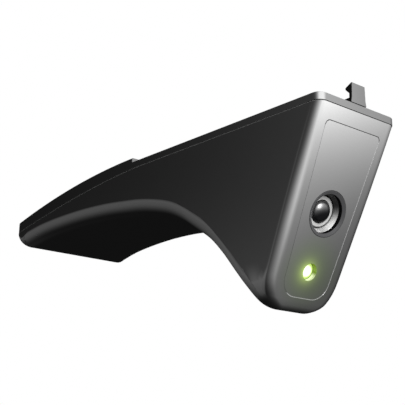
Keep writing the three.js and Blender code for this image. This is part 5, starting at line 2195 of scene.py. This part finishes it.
@dataclass
class Latch:
    """The sprung hook, its pin, its guide and its spring, in millimetres."""

    spring_radius: float = 3.4
    wire_radius: float = 0.4
    turns: float = 9.0
    axis_height: float = -15.5

    def build(self) -> None:
        """Builds the latch's pieces and dresses them."""
        hook = refined("latch_hook", "sprung_hook", 0.55)
        dress(hook, Finishes.LATCH, Body.LATCH, "latch", ["latch_hook"])
        guide = refined("latch_guide", "latch_guide_plate", 0.4)
        dress(guide, Finishes.INNER, Body.HOUSING, "inner_plastic", ["latch_guide"])
        self.pin()
        self.spring()

    def pin(self) -> None:
        """Turns the pin that the hook draws along."""
        low, high = (c.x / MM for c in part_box("latch_pin"))
        head, shank = 4.6, 1.6
        profile = [(0, low), (head, low), (head, low + 2.5), (shank, low + 2.5), (shank, high), (0, high)]
        mesh = turned(profile, False, 48, 0.5)
        mesh.transform(Matrix.Translation((0, 0, self.axis_height * MM)) @ Matrix.Rotation(QUARTER, 4, "Y"))
        piece = new_object("latch_draw_pin", smooth(mesh))
        dress(piece, Finishes.STEEL, Body.LATCH, "steel", ["latch_pin"])

    def spring(self) -> None:
        """Grows the spring between the guide's lug and the pin's head."""
        low, high = (c.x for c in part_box("latch_spring"))
        wire = self.wire_radius * MM
        margin = 1.1 * wire
        sizes = {
            "Turns": self.turns,
            "Radius": self.spring_radius * MM,
            "Wire radius": wire,
            "Length": high - low - 2 * margin,
        }
        piece = SpringGrower().grown("latch_coil_spring", mesh_of([(0, 0, 0)]), Finishes.SPRING, sizes)
        piece.data.transform(Matrix.Translation((low + margin, 0, self.axis_height * MM)))
        dress(piece, Finishes.SPRING, Body.HOUSING, "steel", ["latch_spring"])
        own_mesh(piece)


@dataclass
class Electronics:
    """The camera behind the lens, the main board and the sockets."""

    fins: int = 15
    fin_thickness: float = 1.1
    base: float = 3.0

    def build(self) -> None:
        """Refines the inner pieces, grows the cooler and dresses the rest."""
        copies = (
            ("camera_bracket", "camera_mounting_bracket", 0.5, Finishes.ALLOY, "alloy"),
            ("camera_housing", "camera_case", 0.8, Finishes.CAMERA, "camera_black"),
            ("processor", "processor_package", 0.3, Finishes.CHIP, "chip"),
            ("memory_chip_1", "memory_chip_left", 0.2, Finishes.CHIP, "chip"),
            ("memory_chip_2", "memory_chip_right", 0.2, Finishes.CHIP, "chip"),
            ("power_inductor", "power_coil", 0.9, Finishes.CHIP, "chip"),
            ("power_inlet", "power_inlet_socket", 0.25, Finishes.INNER, "inner_plastic"),
            ("data_socket", "data_port", 0.15, Finishes.STEEL, "steel"),
        )
        for node, name, soft, finish, slot in copies:
            dress(refined(node, name, soft), finish, Body.HOUSING, slot, [node])
        self.cooler()
        self.carried()

    def cooler(self) -> None:
        """Grows the finned cooler."""
        low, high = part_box("heat_sink")
        sizes = {
            "Fins": self.fins,
            "Thickness": self.fin_thickness * MM,
            "Side": high.x - low.x,
            "Height": high.z - low.z,
            "Base": self.base * MM,
        }
        piece = FinGrower().grown("finned_cooler", mesh_of([(0, 0, 0)]), Finishes.ALLOY, sizes)
        piece.data.transform(Matrix.Translation(((low.x + high.x) / 2, 0, low.z)))
        dress(piece, Finishes.ALLOY, Body.HOUSING, "alloy", ["heat_sink"])

    def carried(self) -> None:
        """Gives each CAD node that stays its finish."""
        finishes = {
            "sensor_board": Finishes.BOARD,
            "image_sensor": Finishes.CHIP,
            "light_emitter": Finishes.EMITTER,
            "light_board": Finishes.BOARD,
            "main_board": Finishes.BOARD,
            "camera_ribbon": Finishes.RIBBON,
            "light_ribbon": Finishes.RIBBON,
        }
        for name, finish in finishes.items():
            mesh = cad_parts[name].data
            mesh.materials.clear()
            clad(mesh, finish)
            LOG.info("%s keeps its form", name)


# ---------------------------------------------------------------- studio


@dataclass
class Studio:
    """Camera, floor, lamp and the white surroundings."""

    camera_place: Point = (0.58786, -0.53921, -0.29924)
    azimuth: float = math.radians(51.48)
    elevation: float = math.radians(-16.59)
    roll: float = math.radians(0.97)
    lens: float = 75.6
    lamp_place: Point = (0.92, -0.18, 0.135)
    lamp_aim: Point = (0.08, 0.0, -0.09)
    lamp_size: Flat = (0.42, 0.48)
    lamp_power: float = 5.5
    floor_height: float = -1.45
    floor_half: float = 6.0
    surround: float = 0.5

    def build(self) -> None:
        """Sets the camera, the lamp, the floor and the world."""
        self.camera()
        self.lamp()
        self.floor()
        self.world()

    def placed(self, name: str, data: bpy.types.ID) -> Object:
        """Links a camera or a lamp to the scene."""
        made = bpy.data.objects.new(name, data)
        bpy.context.scene.collection.objects.link(made)
        return made

    def camera(self) -> None:
        """Makes the camera at the photograph's viewpoint."""
        a, e, r = self.azimuth, self.elevation, self.roll
        back = Vector((math.sin(a) * math.cos(e), -math.cos(a) * math.cos(e), math.sin(e)))
        level = (-back).cross(Vector((0, 0, 1))).normalized()
        above = level.cross(-back)
        right, up = level * math.cos(r) + above * math.sin(r), above * math.cos(r) - level * math.sin(r)
        data = bpy.data.cameras.new("view")
        data.lens = self.lens
        data.sensor_width = 36.0
        data.clip_start, data.clip_end = 0.01, 50.0
        camera = self.placed("view", data)
        turn = Matrix((right, up, back)).transposed().to_4x4()
        camera.matrix_world = Matrix.Translation(self.camera_place) @ turn
        bpy.context.scene.camera = camera

    def lamp(self) -> None:
        """Adds the soft key lamp."""
        data = bpy.data.lights.new("key softbox", "AREA")
        data.shape = "RECTANGLE"
        data.size, data.size_y = self.lamp_size
        data.energy = self.lamp_power
        lamp = self.placed("key softbox", data)
        lamp.location = self.lamp_place
        lamp.rotation_mode = "QUATERNION"
        lamp.rotation_quaternion = (Vector(self.lamp_aim) - Vector(self.lamp_place)).to_track_quat("-Z", "Y")
        lamp.visible_camera = False

    def floor(self) -> None:
        """Lays the plain pale floor."""
        half, height = self.floor_half / MM, self.floor_height / MM
        corners = [(-half, -half, height), (half, -half, height), (half, half, height), (-half, half, height)]
        piece = new_object("floor", mesh_of(corners, [[0, 1, 2, 3]]))
        clad(piece.data, Finishes.FLOOR)

    def world(self) -> None:
        """Makes the surroundings: white to the eye and in gloss, softer as light."""
        world = bpy.data.worlds.new("studio")
        world.use_nodes = True
        bpy.context.scene.world = world
        w = Wiring(world.node_tree)
        ray = w.node("ShaderNodeLightPath").outputs
        seen = w.math("MAXIMUM", ray["Is Camera Ray"], ray["Is Glossy Ray"])
        seen = w.math("MAXIMUM", seen, ray["Is Transmission Ray"])
        strength = seen * (1.0 - self.surround) + self.surround
        w.fill(world.node_tree.nodes["Background"], {"Color": (1.0, 1.0, 1.0, 1.0), "Strength": strength})


def main() -> None:
    """Builds the monitor, piece by piece, and its studio."""
    logging.basicConfig(level=logging.INFO, format="%(message)s")
    bpy.context.scene.view_settings.view_transform = "Standard"
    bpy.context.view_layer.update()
    for effect in (Grain(), Paint(), Halo()):
        effect.build()
    Studio().build()
    form = Form()
    dress(Shell(form).build(), Finishes.SHELL, Body.HOUSING, "shell", ["body_shell"])
    dress(Cover(form).build(), Finishes.COVER, Body.HOUSING, "cover", ["top_cover"])
    dress(Panel().build(), Finishes.PANEL, Body.HOUSING, "face_panel", ["front_panel"])
    Lens().build()
    StatusLight().build()
    Latch().build()
    Electronics().build()
    Screws().build(form)


if __name__ == "__main__":
    main()
